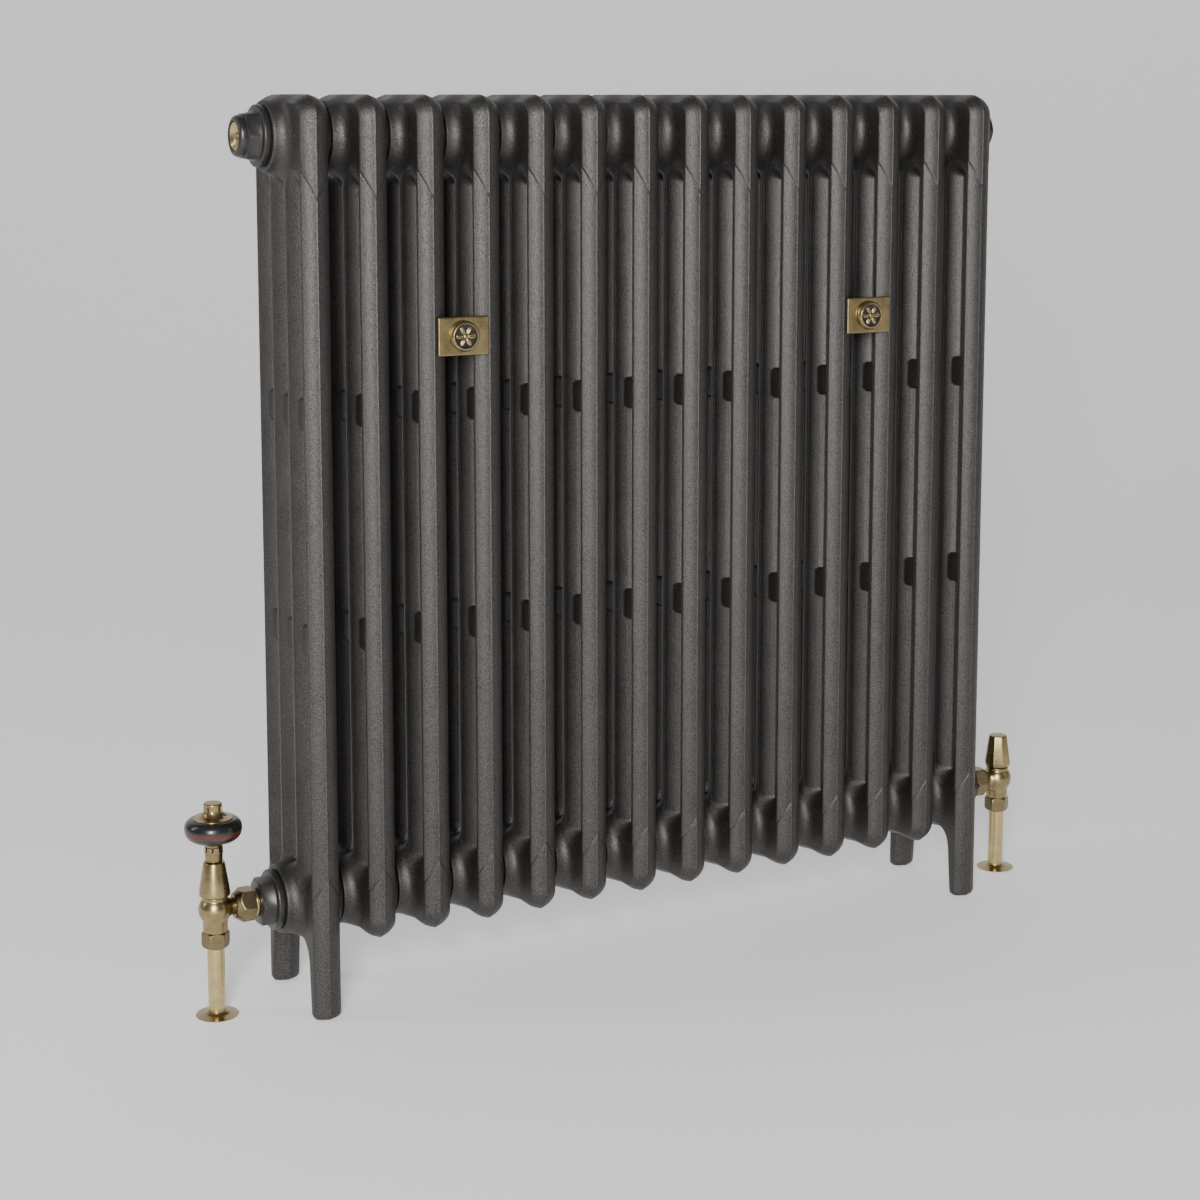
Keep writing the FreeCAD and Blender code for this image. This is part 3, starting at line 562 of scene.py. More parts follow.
body_mesh = valve_body_mesh("valve_body")
for name, axis, turn in (("trv", trv_axis, 0), ("lockshield", lock_axis, math.pi)):
    made = object_from(body_mesh, name + "_cast_body", axis, (0, 0, turn))
    fit_in(made, "radiator", "antique_brass", name + "_body")
print("valve body thinned to", len(body_mesh.polygons), "triangles")

# %% [markdown]
# ## Nuts and tails
# The compression nut grips the pipe; the union nut draws the valve onto its tail. Both are hexagon bar
# whose corners are turned away at the ends, so the lathe helper's flats give the right curved chamfers.

# %% Compression nuts
def comb(start, end, count):
    """Points evenly spaced on a straight line, start included and end left out."""
    return [tuple(np.array(start) + (np.array(end) - np.array(start)) * i / count) for i in range(count)]


nut_outline = (
    [(7.7, NUT_LOW), (11.2, NUT_LOW)]
    + curve_through([(11.2, NUT_LOW), (13.6, NUT_LOW + 1.6), (15.0, NUT_LOW + 4.6)], 10)[1:]
    + [(15.0, NUT_HIGH - 1.4)]
    + comb((15.0, NUT_HIGH - 1.4), (13.3, NUT_HIGH), 6)[1:]
    + [(13.3, NUT_HIGH), (11.7, NUT_HIGH), (11.7, NUT_LOW + 6), (7.7, NUT_LOW + 6)]
)
nut_mesh = spun("compression_nut", nut_outline, steps=120, bored=True, shape=flats(6, 13.0, inner=12.2))
for name, axis, turn in (("trv", trv_axis, 0.35), ("lockshield", lock_axis, 0.05)):
    made = bevelled(object_from(nut_mesh, name + "_pipe_nut", axis, (0, 0, turn)), 0.3)
    fit_in(made, "radiator", "bronze_nut", name + "_compression_nut")

# %% Union nuts and tails
UNION_FLAT = 16.2
TAIL_R = 14.7
for name, axis, turn, toward in (
    ("trv", trv_axis, X_OUT_LEFT, 1),
    ("lockshield", lock_axis, X_OUT_RIGHT, -1),
):
    low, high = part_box(name + "_union_nut")
    face = high.x if toward > 0 else low.x
    length = (high.x - low.x) / MM
    outline = (
        [(12.2, 0), (16.4, 0)]
        + comb((16.4, 0), (18.6, 1.3), 5)[1:]
        + [(18.6, 1.3), (18.7, length * 0.62)]
        + curve_through([(18.7, length * 0.62), (16.2, length * 0.76), (13.2, length - 0.6)], 12)[1:]
        + [(12.2, length), (9.2, length), (9.2, length - 3.8), (12.2, length - 3.8)]
    )
    mesh = spun(name + "_union", outline, steps=120, bored=True, shape=flats(6, UNION_FLAT, inner=12.8))
    made = bevelled(object_from(mesh, name + "_union", (face, row_y, hub_low * MM), turn), 0.3)
    fit_in(made, "radiator", "bronze_nut", name + "_union_nut")
    low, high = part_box(name + "_tail")
    start = high.x if toward > 0 else low.x
    neck = 14.0
    tail_outline = (
        [(6.5, 0), (10.4, 0), (10.4, neck)]
        + arc(TAIL_R - 1.2, neck + 1.2, 1.2, -90, 0, 5)
        + arc(TAIL_R - 1.2, neck + 3.2, 1.2, 0, 90, 5)
        + [(11.5, neck + 4.4), (11.5, 29.0), (6.5, 29.0)]
    )
    mesh = spun(name + "_bright_tail", tail_outline, bored=True)
    made = object_from(mesh, name + "_bright_tail", (start, row_y, hub_low * MM), turn)
    fit_in(made, "radiator", "satin_brass", name + "_tail")
print("nuts and tails fitted")

# %% [markdown]
# ## The thermostatic head
# A coned bonnet stands on the valve. Above it a lock ring with square teeth holds the head, whose wheel
# is turned from dark wood and lacquer in three bands, with a brass plate and an arched brass post on
# top.

# %% Bonnet, collar and lock ring
bonnet_outline = (
    [(1.6, 121.0), (9.3, 121.0), (9.3, BODY_TOP), (14.2, BODY_TOP)]
    + arc(14.0, 132.0, 2.3, -80, 5, 8)
    + [(15.8, 138.0), (11.3, 165.4)]
    + arc(10.3, 165.6, 0.9, 10, 90, 4)
    + [(1.6, 167.0)]
)
bonnet_mesh = spun("coned_bonnet", bonnet_outline, steps=120, bored=True)
bonnet = object_from(bonnet_mesh, "coned_bonnet", trv_axis)
fit_in(bonnet, "radiator", "antique_brass", "trv_bonnet")

collar_outline = [(1.6, 167), (8.6, 167), (9.25, 167.8), (9.25, 175.6), (8.8, 176), (1.6, 176)]
collar = object_from(spun("plain_collar", collar_outline, bored=True), "plain_collar", trv_axis)
fit_in(collar, "radiator", "antique_brass", "trv_collar")
stem_outline = [(1.6, 176), (5, 176), (5, 196), (1.6, 196)]
stem = object_from(spun("ring_stem", stem_outline, bored=True), "ring_stem", trv_axis)
fit_in(stem, "radiator", "dark_steel")

TEETH = 8


def notch(radii, heights, angles):
    """Cut square gaps between the ring's teeth."""
    phase = (angles * TEETH / (2 * math.pi)) % 1
    gap = (phase > 0.36) & (phase < 0.64)
    cut_down = gap & (heights > 177.9)
    return radii, np.where(cut_down, 177.9, heights)


ring_outline = [
    (5.2, 176), (9.7, 176), (9.7, 177.9), (9.7, 182.9), (7.4, 182.9), (7.4, 177.9), (5.2, 177.9),
]
ring_mesh = spun("toothed_ring", ring_outline, steps=200, bored=True, shape=notch)
ring = object_from(ring_mesh, "toothed_ring", trv_axis)
fit_in(ring, "radiator", "antique_brass", "trv_lock_ring")

# %% The turning head
WHEEL_R, WHEEL_MID, WHEEL_LOW, WHEEL_HIGH = 30.0, 203.0, 190.0, 213.2
BAND_LOW = 197.0


def wheel_edge(z):
    """Radius of the wheel at a height: a flattened ring, a little fuller above the middle."""
    above = z >= WHEEL_MID
    half = (WHEEL_HIGH + 0.6 - WHEEL_MID) if above else (WHEEL_MID - WHEEL_LOW + 1.2)
    inner = 18.5 if above else 14.5
    share = min(abs(z - WHEEL_MID) / half, 1)
    return inner + (WHEEL_R - inner) * (1 - share ** 2.3) ** (1 / 2.1)


def wheel_ring(name, low, high, node, slot):
    rise = np.linspace(0, 1, 22)
    heights = low + (high - low) * (0.5 - 0.5 * np.cos(rise * math.pi))
    outline = [(9.7, low)] + [(wheel_edge(z), z) for z in heights] + [(9.7, high)]
    made = object_from(spun(name, outline, steps=144, bored=True), name, trv_axis)
    return fit_in(made, "trv_head", slot, node)


wheel_ring("wheel_under", WHEEL_LOW, BAND_LOW, "trv_head_under_ring", "black_gloss")
wheel_ring("wheel_band", BAND_LOW, WHEEL_MID, "trv_head_wood_band", "mahogany")
wheel_ring("wheel_top", WHEEL_MID, WHEEL_HIGH, "trv_head_black_ring", "black_gloss")

POST_R = 9.6
ARCHES = 4


def arched(radii, heights, angles):
    """Sink arched recesses into the post."""
    phase = (angles * ARCHES / (2 * math.pi) + 0.5) % 1 - 0.5
    across = phase * 2 * math.pi * POST_R / ARCHES
    top = 225.0 + np.sqrt(np.clip(3.2 ** 2 - across ** 2, 0, None)) * 0.95
    wall = np.clip((3.2 - np.abs(across)) / 0.5, 0, 1)
    low_end = np.clip((heights - 214.9) / 0.8, 0, 1)
    high_end = np.clip((top - heights) / 0.6, 0, 1)
    on_post = (radii > 7) & (heights > 214.6)
    return radii - 2.6 * wall * low_end * high_end * on_post, heights


core_outline = (
    [(5.1, 183.4), (9.3, 183.4)]
    + curve_through([(9.3, 183.4), (10.4, 185.6), (13.5, 188.0), (16.8, 189.6)], 12)[1:]
    + [(16.8, 190.0), (9.65, 190.0), (9.65, 213.0), (20.6, 213.0)]
    + arc(20.2, 213.7, 0.8, -60, 80, 5)
    + curve_through([(20.0, 214.3), (16.0, 214.9), (12.5, 216.8), (10.3, 219.5), (9.6, 222.0)], 20)[1:]
    + comb((POST_R, 222.2), (POST_R, 229.0), 16)
    + arc(8.5, 228.7, 1.0, 10, 80, 4)
    + [(6.0, 229.95), (0.0, 230.0)]
)
bore_outline = [(0.0, 199.0), (5.1, 199.0)]
core_mesh = spun("head_core", bore_outline + core_outline, steps=200, shape=arched)
core = object_from(core_mesh, "head_core", trv_axis, (0, 0, math.radians(-35)))
fit_in(core, "trv_head", "antique_brass", "trv_head_core")
print("the head has", ARCHES, "arches and its lock ring", TEETH, "teeth")

# %% [markdown]
# ## The lockshield
# A plain cap with eight flats, tapering to a flat top, covers the valve's square spindle.

# %% Lockshield cap
cap_low, cap_high = (v.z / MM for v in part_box("lockshield_cap"))
cap_outline = (
    [(10.0, cap_low), (13.0, cap_low)]
    + curve_through([(13.0, cap_low), (14.8, cap_low + 1.6), (16.3, cap_low + 5.2)], 8)[1:]
    + [(16.4, cap_low + 6.2), (11.6, cap_high - 1.2), (10.7, cap_high - 0.2), (0, cap_high)]
)
cap_bore = [(0, 29.8), (3.4, 29.8), (3.4, 13), (9.9, 13), (9.9, 0)]
cap_bore = [(radius, cap_low + height) for radius, height in cap_bore]


def eight_flats(radii, heights, angles):
    sector = 2 * math.pi / 8
    off = (angles + sector / 2) % sector - sector / 2
    factor = np.cos(sector / 2) / np.cos(off)
    return np.where(radii > 10.2, radii * factor, radii), heights


cap_mesh = spun("faceted_cap", cap_bore + cap_outline[1:], steps=96, shape=eight_flats)
cap = bevelled(object_from(cap_mesh, "faceted_cap", lock_axis, (0, 0, 0.2)), 0.35, 25)
fit_in(cap, "lockshield_cap", "antique_brass", "lockshield_cap")

# %% [markdown]
# ## Bushes, plug and air vent
# Each open hub takes a bush: a thick round flange that seats on a gasket and a six-sided head for the
# spanner. They are painted with the sections. The upper left bush holds a brass air vent with a small
# bleed screw.

# %% Bushes
BUSH_FLAT = 22.5


def bush_outline(bore, closed):
    """Heights run outward from the seat; the thread goes 18 mm into the hub."""
    thread_end = [(0.0, -18.0)] if closed else [(bore, -18.0)]
    flange = arc(30.6, 1.4, 1.4, -90, 0, 6) + arc(29.8, 4.8, 2.2, 0, 90, 7) + [(28.2, 7.0), (26.6, 7.2)]
    head = [(26.0, 7.4), (26.0, 19.0)] + comb((26.0, 19.0), (22.3, 21.0), 6)[1:] + [(22.3, 21.0)]
    face = [(14.0, 21.0), (13.2, 20.3), (0.0, 20.3)] if closed else [(bore + 1.2, 21.0), (bore, 20.0)]
    return thread_end + [(19.9, -18.0), (19.9, 0.0)] + flange + head + face


for node, turn, closed in (
    ("vent_bush", X_OUT_LEFT, False),
    ("flow_bush", X_OUT_LEFT, False),
    ("blank_plug", X_OUT_RIGHT, True),
    ("return_bush", X_OUT_RIGHT, False),
):
    low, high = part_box(node)
    seat = low.x + 21 * MM if turn == X_OUT_LEFT else high.x - 21 * MM
    hexagon = flats(6, BUSH_FLAT, inner=15, low=7.4)
    mesh = spun(node + "_turned", bush_outline(10.5, closed), steps=120, bored=not closed, shape=hexagon)
    made = bevelled(object_from(mesh, node + "_turned", (seat, row_y, centre(node).z), turn), 0.5)
    fit_in(made, "radiator", "painted_bush", node)
print("four bushes")

# %% Air vent
low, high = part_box("vent_body")
vent_face = Vector((low.x, row_y, centre("vent_body").z))
dome = (
    [(10.9, -22.0), (10.9, -8.0), (21.5, -8.0), (21.5, -5.8)]
    + curve_through([(21.5, -5.8), (21.0, -3.3), (19.7, -1.1), (17.4, 0.0)], 12)[1:]
    + [(16.0, 0.0), (15.2, -0.5), (14.7, -6.0), (10.9, -6.2)]
)
vent_dome = object_from(spun("vent_dome", dome, bored=True), "vent_dome", vent_face, X_OUT_LEFT)
fit_in(vent_dome, "radiator", "painted_bush", "vent_body")
insert = (
    [(4.1, -21.8), (10.8, -21.8), (10.8, -6.1), (14.65, -5.9), (14.65, -1.4), (13.8, -0.9)]
    + curve_through([(13.8, -0.9), (11.6, -2.8), (9.0, -4.7), (5.8, -5.7)], 10)[1:]
    + [(4.1, -5.8)]
)
vent_insert = object_from(spun("vent_insert", insert, bored=True), "vent_insert", vent_face, X_OUT_LEFT)
fit_in(vent_insert, "radiator", "satin_brass")
low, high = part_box("vent_screw")
length = (high.x - low.x) / MM
key_length = 5.0
screw_outline = (
    [(0, -length), (3.4, -length), (4.0, -length + 0.6)]
    + [(4.0, -key_length), (3.98, -key_length), (3.98, -0.7)]
    + comb((3.98, -0.7), (3.2, 0), 4)[1:]
    + [(3.2, 0), (1.2, 0), (0.9, -0.5), (0, -0.7)]
)
square_end = flats(4, 2.85, inner=2.0, low=-key_length + 0.01)
screw_mesh = spun("bleed_screw", screw_outline, steps=96, shape=square_end)
screw = object_from(screw_mesh, "bleed_screw", (low.x, row_y, vent_face.z), X_OUT_LEFT)
fit_in(screw, "vent_screw", "antique_brass", "vent_screw")
print("air vent with a screw", round(length), "mm long")

# %% [markdown]
# ## Wall stays
# A rod from the wall passes between two sections and a plate and knob on its front end draw them back.
# The knob is a round casting with a plain six-petalled rosette standing in a hollow, darkened by a black
# disc over its floor that is painted shade.

# %% Knob and plate
KNOB_THICK, HOLLOW_R = 6.0, 12.8
FACE_Y = (math.pi / 2, 0, 0)


def rosette(radii, heights, angles):
    """Raise six petals and a round boss from the floor of the hollow."""
    petal_turn = (angles + math.pi / 6) % (math.pi / 3) - math.pi / 6
    along = radii * np.cos(petal_turn) - 6.9
    across = radii * np.sin(petal_turn)
    petal = np.clip(1.15 - (along / 4.3) ** 2 - (across / 2.35) ** 2, 0, 1) ** 0.6
    boss = np.clip(1.2 - (radii / 2.4) ** 2, 0, 1) ** 0.6
    vein = 0.35 * np.exp(-((across / 0.35) ** 2)) * petal
    rise = np.maximum(petal - vein, boss) * 1.15
    on_floor = (radii < HOLLOW_R - 0.6) & (heights > 3)
    return radii, heights + rise * on_floor


floor_rings = [(r, KNOB_THICK - 1.6) for r in np.linspace(HOLLOW_R - 0.7, 0, 44)]
knob_outline = (
    [(0, 0), (14.9, 0)]
    + arc(15.0, 1.0, 1.0, -80, 0, 4)
    + [(16.0, 3.6)]
    + comb((16.0, 3.6), (14.5, 5.7), 4)[1:]
    + [(14.5, 5.7), (14.0, KNOB_THICK), (13.2, KNOB_THICK)]
    + [(HOLLOW_R, KNOB_THICK - 0.4), (HOLLOW_R - 0.4, KNOB_THICK - 1.6)]
    + floor_rings
)
knob_mesh = spun("rosette_knob", knob_outline, steps=144, shape=rosette)
# A black disc laid over the floor of the hollow, with the petals standing through it: painted shade for
# the recess.
SHADE_DISC_R = 12.3
shade_disc_outline = [(SHADE_DISC_R, KNOB_THICK - 1.9)]
for r in (SHADE_DISC_R, 11.8, 10, 7, 4, 0):
    shade_disc_outline.append((r, KNOB_THICK - 1.3 + 0.25 * (r / SHADE_DISC_R) ** 4))
shade_disc_mesh = spun("knob_painted_shade", shade_disc_outline, steps=96)


def plate_field(x, y, z):
    """A flat plate with slightly rounded corners and a worn bevel round its front edge."""
    edge = rounded_box_2d(x, y, 28.9, 20.4, 1.6)
    slab = soft_max(edge, np.abs(z - 1.5) - 1.5, 0.5)
    bevel = (edge + np.maximum(z - 1.9, 0) * 0.9) * 0.75
    return np.maximum(soft_max(slab, bevel, 0.4), 4.2 - np.hypot(x, y))


plate_lines = spaced((-30, -27, 0.4), (-27, -6, 3), (-6, 6, 0.5), (6, 27, 3), (27, 30, 0.4))
plate_rise = spaced((-22, -18.5, 0.4), (-18.5, -6, 3), (-6, 6, 0.5), (6, 18.5, 3), (18.5, 22, 0.4))
plate_points, plate_quads = surface_net(plate_field, plate_lines, plate_rise, spaced((-0.8, 3.8, 0.35)))
plate_mesh = mesh_from("stay_plate", plate_points, plate_quads)

for side in ("left", "right"):
    low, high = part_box(side + "_stay_plate")
    middle = (low + high) / 2
    plate = object_from(plate_mesh, side + "_worn_plate", (middle.x, high.y, middle.z), FACE_Y)
    fit_in(plate, side + "_stay_plate", "antique_brass", side + "_stay_plate")
    low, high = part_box(side + "_stay_knob")
    spot = (middle.x, high.y, middle.z)
    knob = object_from(knob_mesh, side + "_rosette_knob", spot, FACE_Y)
    fit_in(knob, side + "_stay_knob", "antique_brass", side + "_stay_knob")
    # The black disc in the knob's hollow is painted shade.
    shade_disc = object_from(shade_disc_mesh, side + "_knob_painted_shade", spot, FACE_Y)
    fit_in(shade_disc, side + "_stay_knob", "black_gloss")
print("two stays with rosette knobs")

# %% [markdown]
# ## Finishes
# Every finish is built from nodes only. Small groups make the variation (cast grain, turning lines,
# wood grain, handling marks) and give out plain colours, values and heights, and the shader itself
# stays in the material. Constants sit straight on the shader, so another program can read them.

# %% Node helpers
def new_group(name, outputs):
    group = bpy.data.node_groups.new(name, "ShaderNodeTree")
    group.interface.new_socket(name="Vector", in_out="INPUT", socket_type="NodeSocketVector")
    for label, kind in outputs:
        group.interface.new_socket(name=label, in_out="OUTPUT", socket_type=kind)
    source = group.nodes.new("NodeGroupInput")
    result = group.nodes.new("NodeGroupOutput")
    return group, source.outputs["Vector"], result


def noise(tree, vector, scale, detail=4.0, roughness=0.55):
    node = tree.nodes.new("ShaderNodeTexNoise")
    node.inputs["Scale"].default_value = scale
    node.inputs["Detail"].default_value = detail
    node.inputs["Roughness"].default_value = roughness
    tree.links.new(vector, node.inputs["Vector"])
    return node.outputs["Fac"]


def spread(tree, value, low, high, to_low, to_high):
    node = tree.nodes.new("ShaderNodeMapRange")
    for label, number in zip(("From Min", "From Max", "To Min", "To Max"), (low, high, to_low, to_high)):
        node.inputs[label].default_value = number
    tree.links.new(value, node.inputs["Value"])
    return node.outputs["Result"]


def sums(tree, operation, *values):
    node = tree.nodes.new("ShaderNodeMath")
    node.operation = operation
    for socket, value in zip(node.inputs, values):
        if isinstance(value, (int, float)):
            socket.default_value = value
        else:
            tree.links.new(value, socket)
    return node.outputs[0]


def mixed(tree, factor, dark, light):
    node = tree.nodes.new("ShaderNodeMix")
    node.data_type = "RGBA"
    tree.links.new(factor, node.inputs["Factor"])
    for socket, value in ((node.inputs[6], dark), (node.inputs[7], light)):
        if isinstance(value, tuple):
            socket.default_value = (*value, 1)
        else:
            tree.links.new(value, socket)
    return node.outputs[2]


def material(slot, metallic, roughness, coat=0.0, colour=(0.5, 0.5, 0.5)):
    made = bpy.data.materials.new(slot)
    made.use_nodes = True
    shader = made.node_tree.nodes["Principled BSDF"]
    shader.inputs["Base Color"].default_value = (*colour, 1)
    shader.inputs["Metallic"].default_value = metallic
    shader.inputs["Roughness"].default_value = roughness
    shader.inputs["Coat Weight"].default_value = coat
    return made, made.node_tree, shader


def use_group(tree, group, place):
    node = tree.nodes.new("ShaderNodeGroup")
    node.node_tree = group
    where = tree.nodes.new("ShaderNodeNewGeometry" if place == "Position" else "ShaderNodeTexCoord")
    tree.links.new(where.outputs[place], node.inputs["Vector"])
    return node


def bump(tree, shader, height, distance, strength=1.0):
    node = tree.nodes.new("ShaderNodeBump")
    node.inputs["Strength"].default_value = strength
    node.inputs["Distance"].default_value = distance
    tree.links.new(height, node.inputs["Height"])
    tree.links.new(node.outputs["Normal"], shader.inputs["Normal"])


FLOAT, COLOUR = "NodeSocketFloat", "NodeSocketColor"

# %% Burnished cast iron
SURFACE = [("Colour", COLOUR), ("Roughness", FLOAT), ("Height", FLOAT)]
grain_group, where, out = new_group("sand_grain", SURFACE)
fine = noise(grain_group, where, 1050, 2, 0.65)
pits = noise(grain_group, where, 760, 2, 0.6)
swell = noise(grain_group, where, 28, 3)
pitted = spread(grain_group, pits, 0.56, 0.74, 0, 0.35)
height = sums(grain_group, "SUBTRACT", sums(grain_group, "MULTIPLY", fine, 0.6), pitted)
grain_group.links.new(height, out.inputs["Height"])
speck = spread(grain_group, fine, 0.36, 0.64, 0, 1)
mostly_speck = sums(grain_group, "MULTIPLY", speck, 0.75)
tone = sums(grain_group, "ADD", mostly_speck, sums(grain_group, "MULTIPLY", swell, 0.25))
iron = mixed(grain_group, tone, (0.019, 0.0182, 0.0176), (0.122, 0.114, 0.107))
grain_group.links.new(iron, out.inputs["Colour"])
rough = spread(grain_group, swell, 0.3, 0.7, 0.43, 0.50)
rough = sums(grain_group, "ADD", rough, sums(grain_group, "MULTIPLY", pitted, 0.12))
grain_group.links.new(rough, out.inputs["Roughness"])


def cast_finish(slot, depth_of_grain, metallic=0.8):
    made, tree, shader = material(slot, metallic, 0.42, colour=(0.1, 0.095, 0.09))
    group = use_group(tree, grain_group, "Position")
    tree.links.new(group.outputs["Colour"], shader.inputs["Base Color"])
    tree.links.new(group.outputs["Roughness"], shader.inputs["Roughness"])
    bump(tree, shader, group.outputs["Height"], depth_of_grain)
    return made


finishes = {"cast_iron": cast_finish("cast_iron", 0.00042)}

# %% Turned metals
TURNING = [("Lines", FLOAT), ("Handling", FLOAT), ("Height", FLOAT)]
turned_group, where, out = new_group("turning_lines", TURNING)
split = turned_group.nodes.new("ShaderNodeSeparateXYZ")
turned_group.links.new(where, split.inputs[0])
square = [sums(turned_group, "MULTIPLY", split.outputs[i], split.outputs[i]) for i in (0, 1)]
radius = sums(turned_group, "SQRT", sums(turned_group, "ADD", *square))
rings = turned_group.nodes.new("ShaderNodeCombineXYZ")
turned_group.links.new(radius, rings.inputs[0])
turned_group.links.new(split.outputs[2], rings.inputs[1])
lines = noise(turned_group, rings.outputs[0], 2600, 2, 0.6)
handling = noise(turned_group, where, 75, 4)
turned_group.links.new(lines, out.inputs["Lines"])
turned_group.links.new(handling, out.inputs["Handling"])
turned_group.links.new(lines, out.inputs["Height"])


def turned_finish(slot, dark, light, rough_low, rough_high, line_depth=0.00002, metallic=1.0, coat=0.0):
    made, tree, shader = material(slot, metallic, (rough_low + rough_high) / 2, coat, light)
    group = use_group(tree, turned_group, "Object")
    tone = sums(tree, "ADD", sums(tree, "MULTIPLY", group.outputs["Lines"], 0.45),
                sums(tree, "MULTIPLY", group.outputs["Handling"], 0.55))
    tone = spread(tree, tone, 0.3, 0.7, 0, 1)
    tree.links.new(mixed(tree, tone, dark, light), shader.inputs["Base Color"])
    wear = spread(tree, group.outputs["Handling"], 0.3, 0.7, rough_low, rough_high)
    tree.links.new(wear, shader.inputs["Roughness"])
    bump(tree, shader, group.outputs["Height"], line_depth)
    return made


finishes["painted_bush"] = turned_finish(
    "painted_bush", (0.035, 0.034, 0.033), (0.075, 0.072, 0.069), 0.3, 0.42, 0.00001, metallic=0.7)
finishes["antique_brass"] = turned_finish(
    "antique_brass", (0.22, 0.166, 0.08), (0.48, 0.378, 0.19), 0.25, 0.35)
finishes["bronze_nut"] = turned_finish(
    "bronze_nut", (0.14, 0.106, 0.058), (0.32, 0.25, 0.134), 0.26, 0.36)
finishes["satin_brass"] = turned_finish(
    "satin_brass", (0.48, 0.37, 0.17), (0.72, 0.58, 0.29), 0.24, 0.33)
finishes["copper"] = turned_finish("copper", (0.55, 0.22, 0.12), (0.78, 0.36, 0.22), 0.22, 0.36)
finishes["dark_steel"] = turned_finish("dark_steel", (0.05, 0.05, 0.05), (0.13, 0.125, 0.12), 0.35, 0.5)
finishes["pin_steel"] = turned_finish("pin_steel", (0.42, 0.42, 0.42), (0.6, 0.6, 0.6), 0.2, 0.32)
finishes["nipple_iron"] = turned_finish("nipple_iron", (0.10, 0.095, 0.09), (0.2, 0.19, 0.18), 0.45, 0.6)
finishes["black_gloss"] = turned_finish(
    "black_gloss", (0.006, 0.006, 0.006), (0.014, 0.013, 0.013), 0.24, 0.34, 0.000004,
    metallic=0.0, coat=0.3)
finishes["gasket"] = turned_finish(
    "gasket", (0.05, 0.045, 0.04), (0.10, 0.09, 0.08), 0.7, 0.85, metallic=0.0)

# %% Mahogany
wood_group, where, out = new_group("wood_grain", SURFACE)
stretch = wood_group.nodes.new("ShaderNodeMapping")
stretch.inputs["Scale"].default_value = (1, 9, 9)
wood_group.links.new(where, stretch.inputs["Vector"])
figure = noise(wood_group, stretch.outputs[0], 55, 5, 0.6)
pores = spread(wood_group, noise(wood_group, stretch.outputs[0], 260, 2), 0.58, 0.7, 0, 1)
figured = spread(wood_group, figure, 0.3, 0.7, 0, 1)
tone = sums(wood_group, "SUBTRACT", figured, sums(wood_group, "MULTIPLY", pores, 0.5))
red_brown = mixed(wood_group, tone, (0.036, 0.008, 0.006), (0.13, 0.036, 0.019))
wood_group.links.new(red_brown, out.inputs["Colour"])
wood_group.links.new(spread(wood_group, pores, 0, 1, 0.28, 0.5), out.inputs["Roughness"])
wood_group.links.new(sums(wood_group, "MULTIPLY", pores, -1), out.inputs["Height"])
wood, tree, shader = material("mahogany", 0.0, 0.36, 0.2, (0.08, 0.022, 0.012))
group = use_group(tree, wood_group, "Object")
tree.links.new(group.outputs["Colour"], shader.inputs["Base Color"])
tree.links.new(group.outputs["Roughness"], shader.inputs["Roughness"])
bump(tree, shader, group.outputs["Height"], 0.00003)
finishes["mahogany"] = wood
print(len(finishes), "finishes")

# %% [markdown]
# ## Give every piece its finish
# Pieces made here carry the name of their slot. The CAD pieces that stay on view take the slot that the
# record gives them. Pieces with one mesh between them share one material.

# %% Assign finishes
slot_of = {}
for entry in frame["record"]["subparts"]:
    slot_of[entry["node"]] = entry["material_slot"]
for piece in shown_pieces():
    slot = piece.get("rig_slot") or slot_of.get(piece.get("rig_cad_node"))
    if piece.type == "MESH" and slot:
        piece.data.materials.clear()
        piece.data.materials.append(finishes[slot])

# %% [markdown]
# ## Floor, light and camera
# A pale paper sweep runs level under the row and curves up behind it. One large soft light stands at
# the front left, with a weak one behind and another on the right. The camera stands back to the left of
# the row and looks a little down.

# %% Floor
low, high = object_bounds()
VIEW_TURN = math.radians(-27.79)
SWEEP_FLAT, SWEEP_RADIUS, SWEEP_TOP, SWEEP_REACH = 2400, 2200, 7000, 9000
turn = np.linspace(0, math.pi / 2, 25)
curve = SWEEP_FLAT + SWEEP_RADIUS * np.sin(turn)
run = np.concatenate([[-SWEEP_REACH], curve, [SWEEP_FLAT + SWEEP_RADIUS]])
rise = np.concatenate([[0.0], SWEEP_RADIUS * (1 - np.cos(turn)), [SWEEP_TOP]])
strip = np.arange(len(run) - 1) * 2
sweep_points = [(side, a, b) for a, b in zip(run, rise) for side in (-SWEEP_REACH, SWEEP_REACH)]
sweep_faces = np.stack([strip, strip + 1, strip + 3, strip + 2], 1)
floor_mesh = mesh_from("studio_floor", sweep_points, sweep_faces)
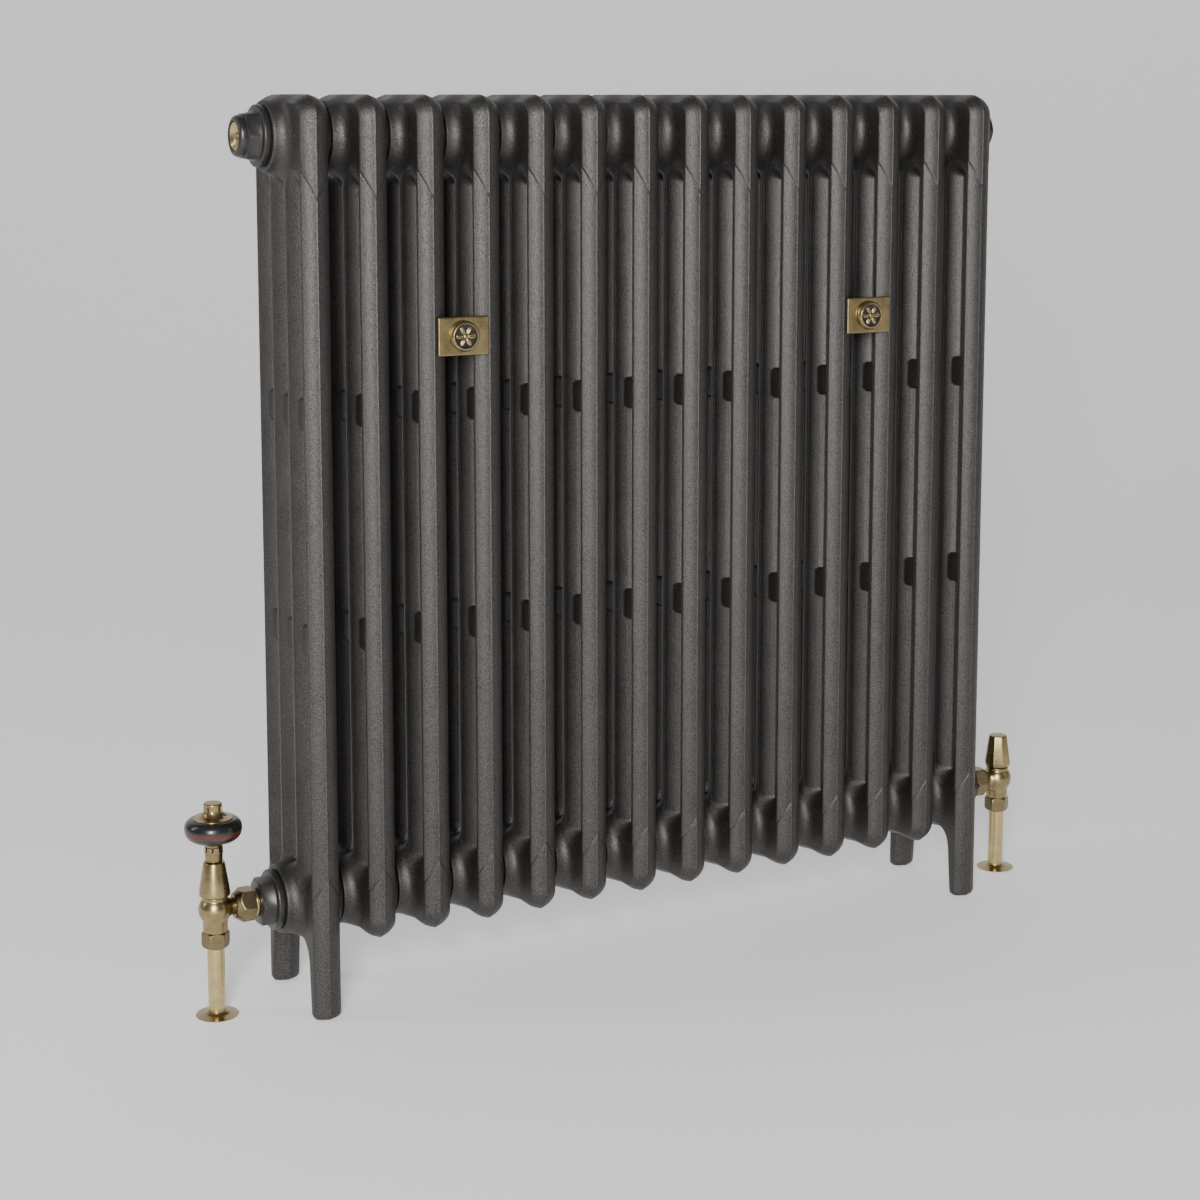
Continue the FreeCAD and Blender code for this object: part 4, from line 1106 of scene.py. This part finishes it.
floor = object_from(floor_mesh, "studio_floor", (0, 0, -0.0005), (0, 0, VIEW_TURN))
floor_material, tree, shader = material("studio_floor", 0.0, 0.9, colour=(0.86, 0.86, 0.86))
shader.inputs["Emission Color"].default_value = (1, 1, 1, 1)
shader.inputs["Emission Strength"].default_value = 0.34
floor_mesh.materials.append(floor_material)


# %% Light
def area_light(name, place, aim, width, height, power):
    lamp = bpy.data.lights.new(name, "AREA")
    lamp.shape = "RECTANGLE"
    lamp.size, lamp.size_y = width, height
    lamp.energy = power
    made = bpy.data.objects.new(name, lamp)
    bpy.context.scene.collection.objects.link(made)
    made.location = place
    made.rotation_euler = (Vector(aim) - Vector(place)).to_track_quat("-Z", "Y").to_euler()
    return made


area_light("key_light", (-2.3, -3.6, 1.7), (0, 0, 0.5), 0.9, 2.0, 220)
area_light("rim_light", (-3.4, 1.2, 2.2), (-0.3, 0, 0.5), 0.7, 2.2, 22)
area_light("fill_light", (3.0, -2.6, 1.6), (0, 0, 0.5), 1.2, 2.0, 6)

# %% World
world = bpy.context.scene.world or bpy.data.worlds.new("studio")
bpy.context.scene.world = world
world.use_nodes = True
tree = world.node_tree
background = tree.nodes["Background"]
heading = tree.nodes.new("ShaderNodeTexCoord")
facing = tree.nodes.new("ShaderNodeVectorMath")
facing.operation = "DOT_PRODUCT"
facing.inputs[1].default_value = (0.47, 0.88, 0)
tree.links.new(heading.outputs["Generated"], facing.inputs[0])
glow = spread(tree, facing.outputs["Value"], 0.6, 0.92, 0, 1)
tree.links.new(mixed(tree, glow, (0.16, 0.16, 0.165), (1.0, 1.0, 1.0)), background.inputs["Color"])
background.inputs["Strength"].default_value = 1.15

# %% Camera
lens = bpy.data.cameras.new("camera")
lens.lens = 69.43
lens.sensor_width = 36
lens.shift_y = -0.16
lens.dof.use_dof = False
camera = bpy.data.objects.new("camera", lens)
bpy.context.scene.collection.objects.link(camera)
camera.location = (-1.2348, -2.2663, 0.9549)
camera.rotation_euler = (math.radians(90 - 7.6), 0, VIEW_TURN)
bpy.context.scene.camera = camera
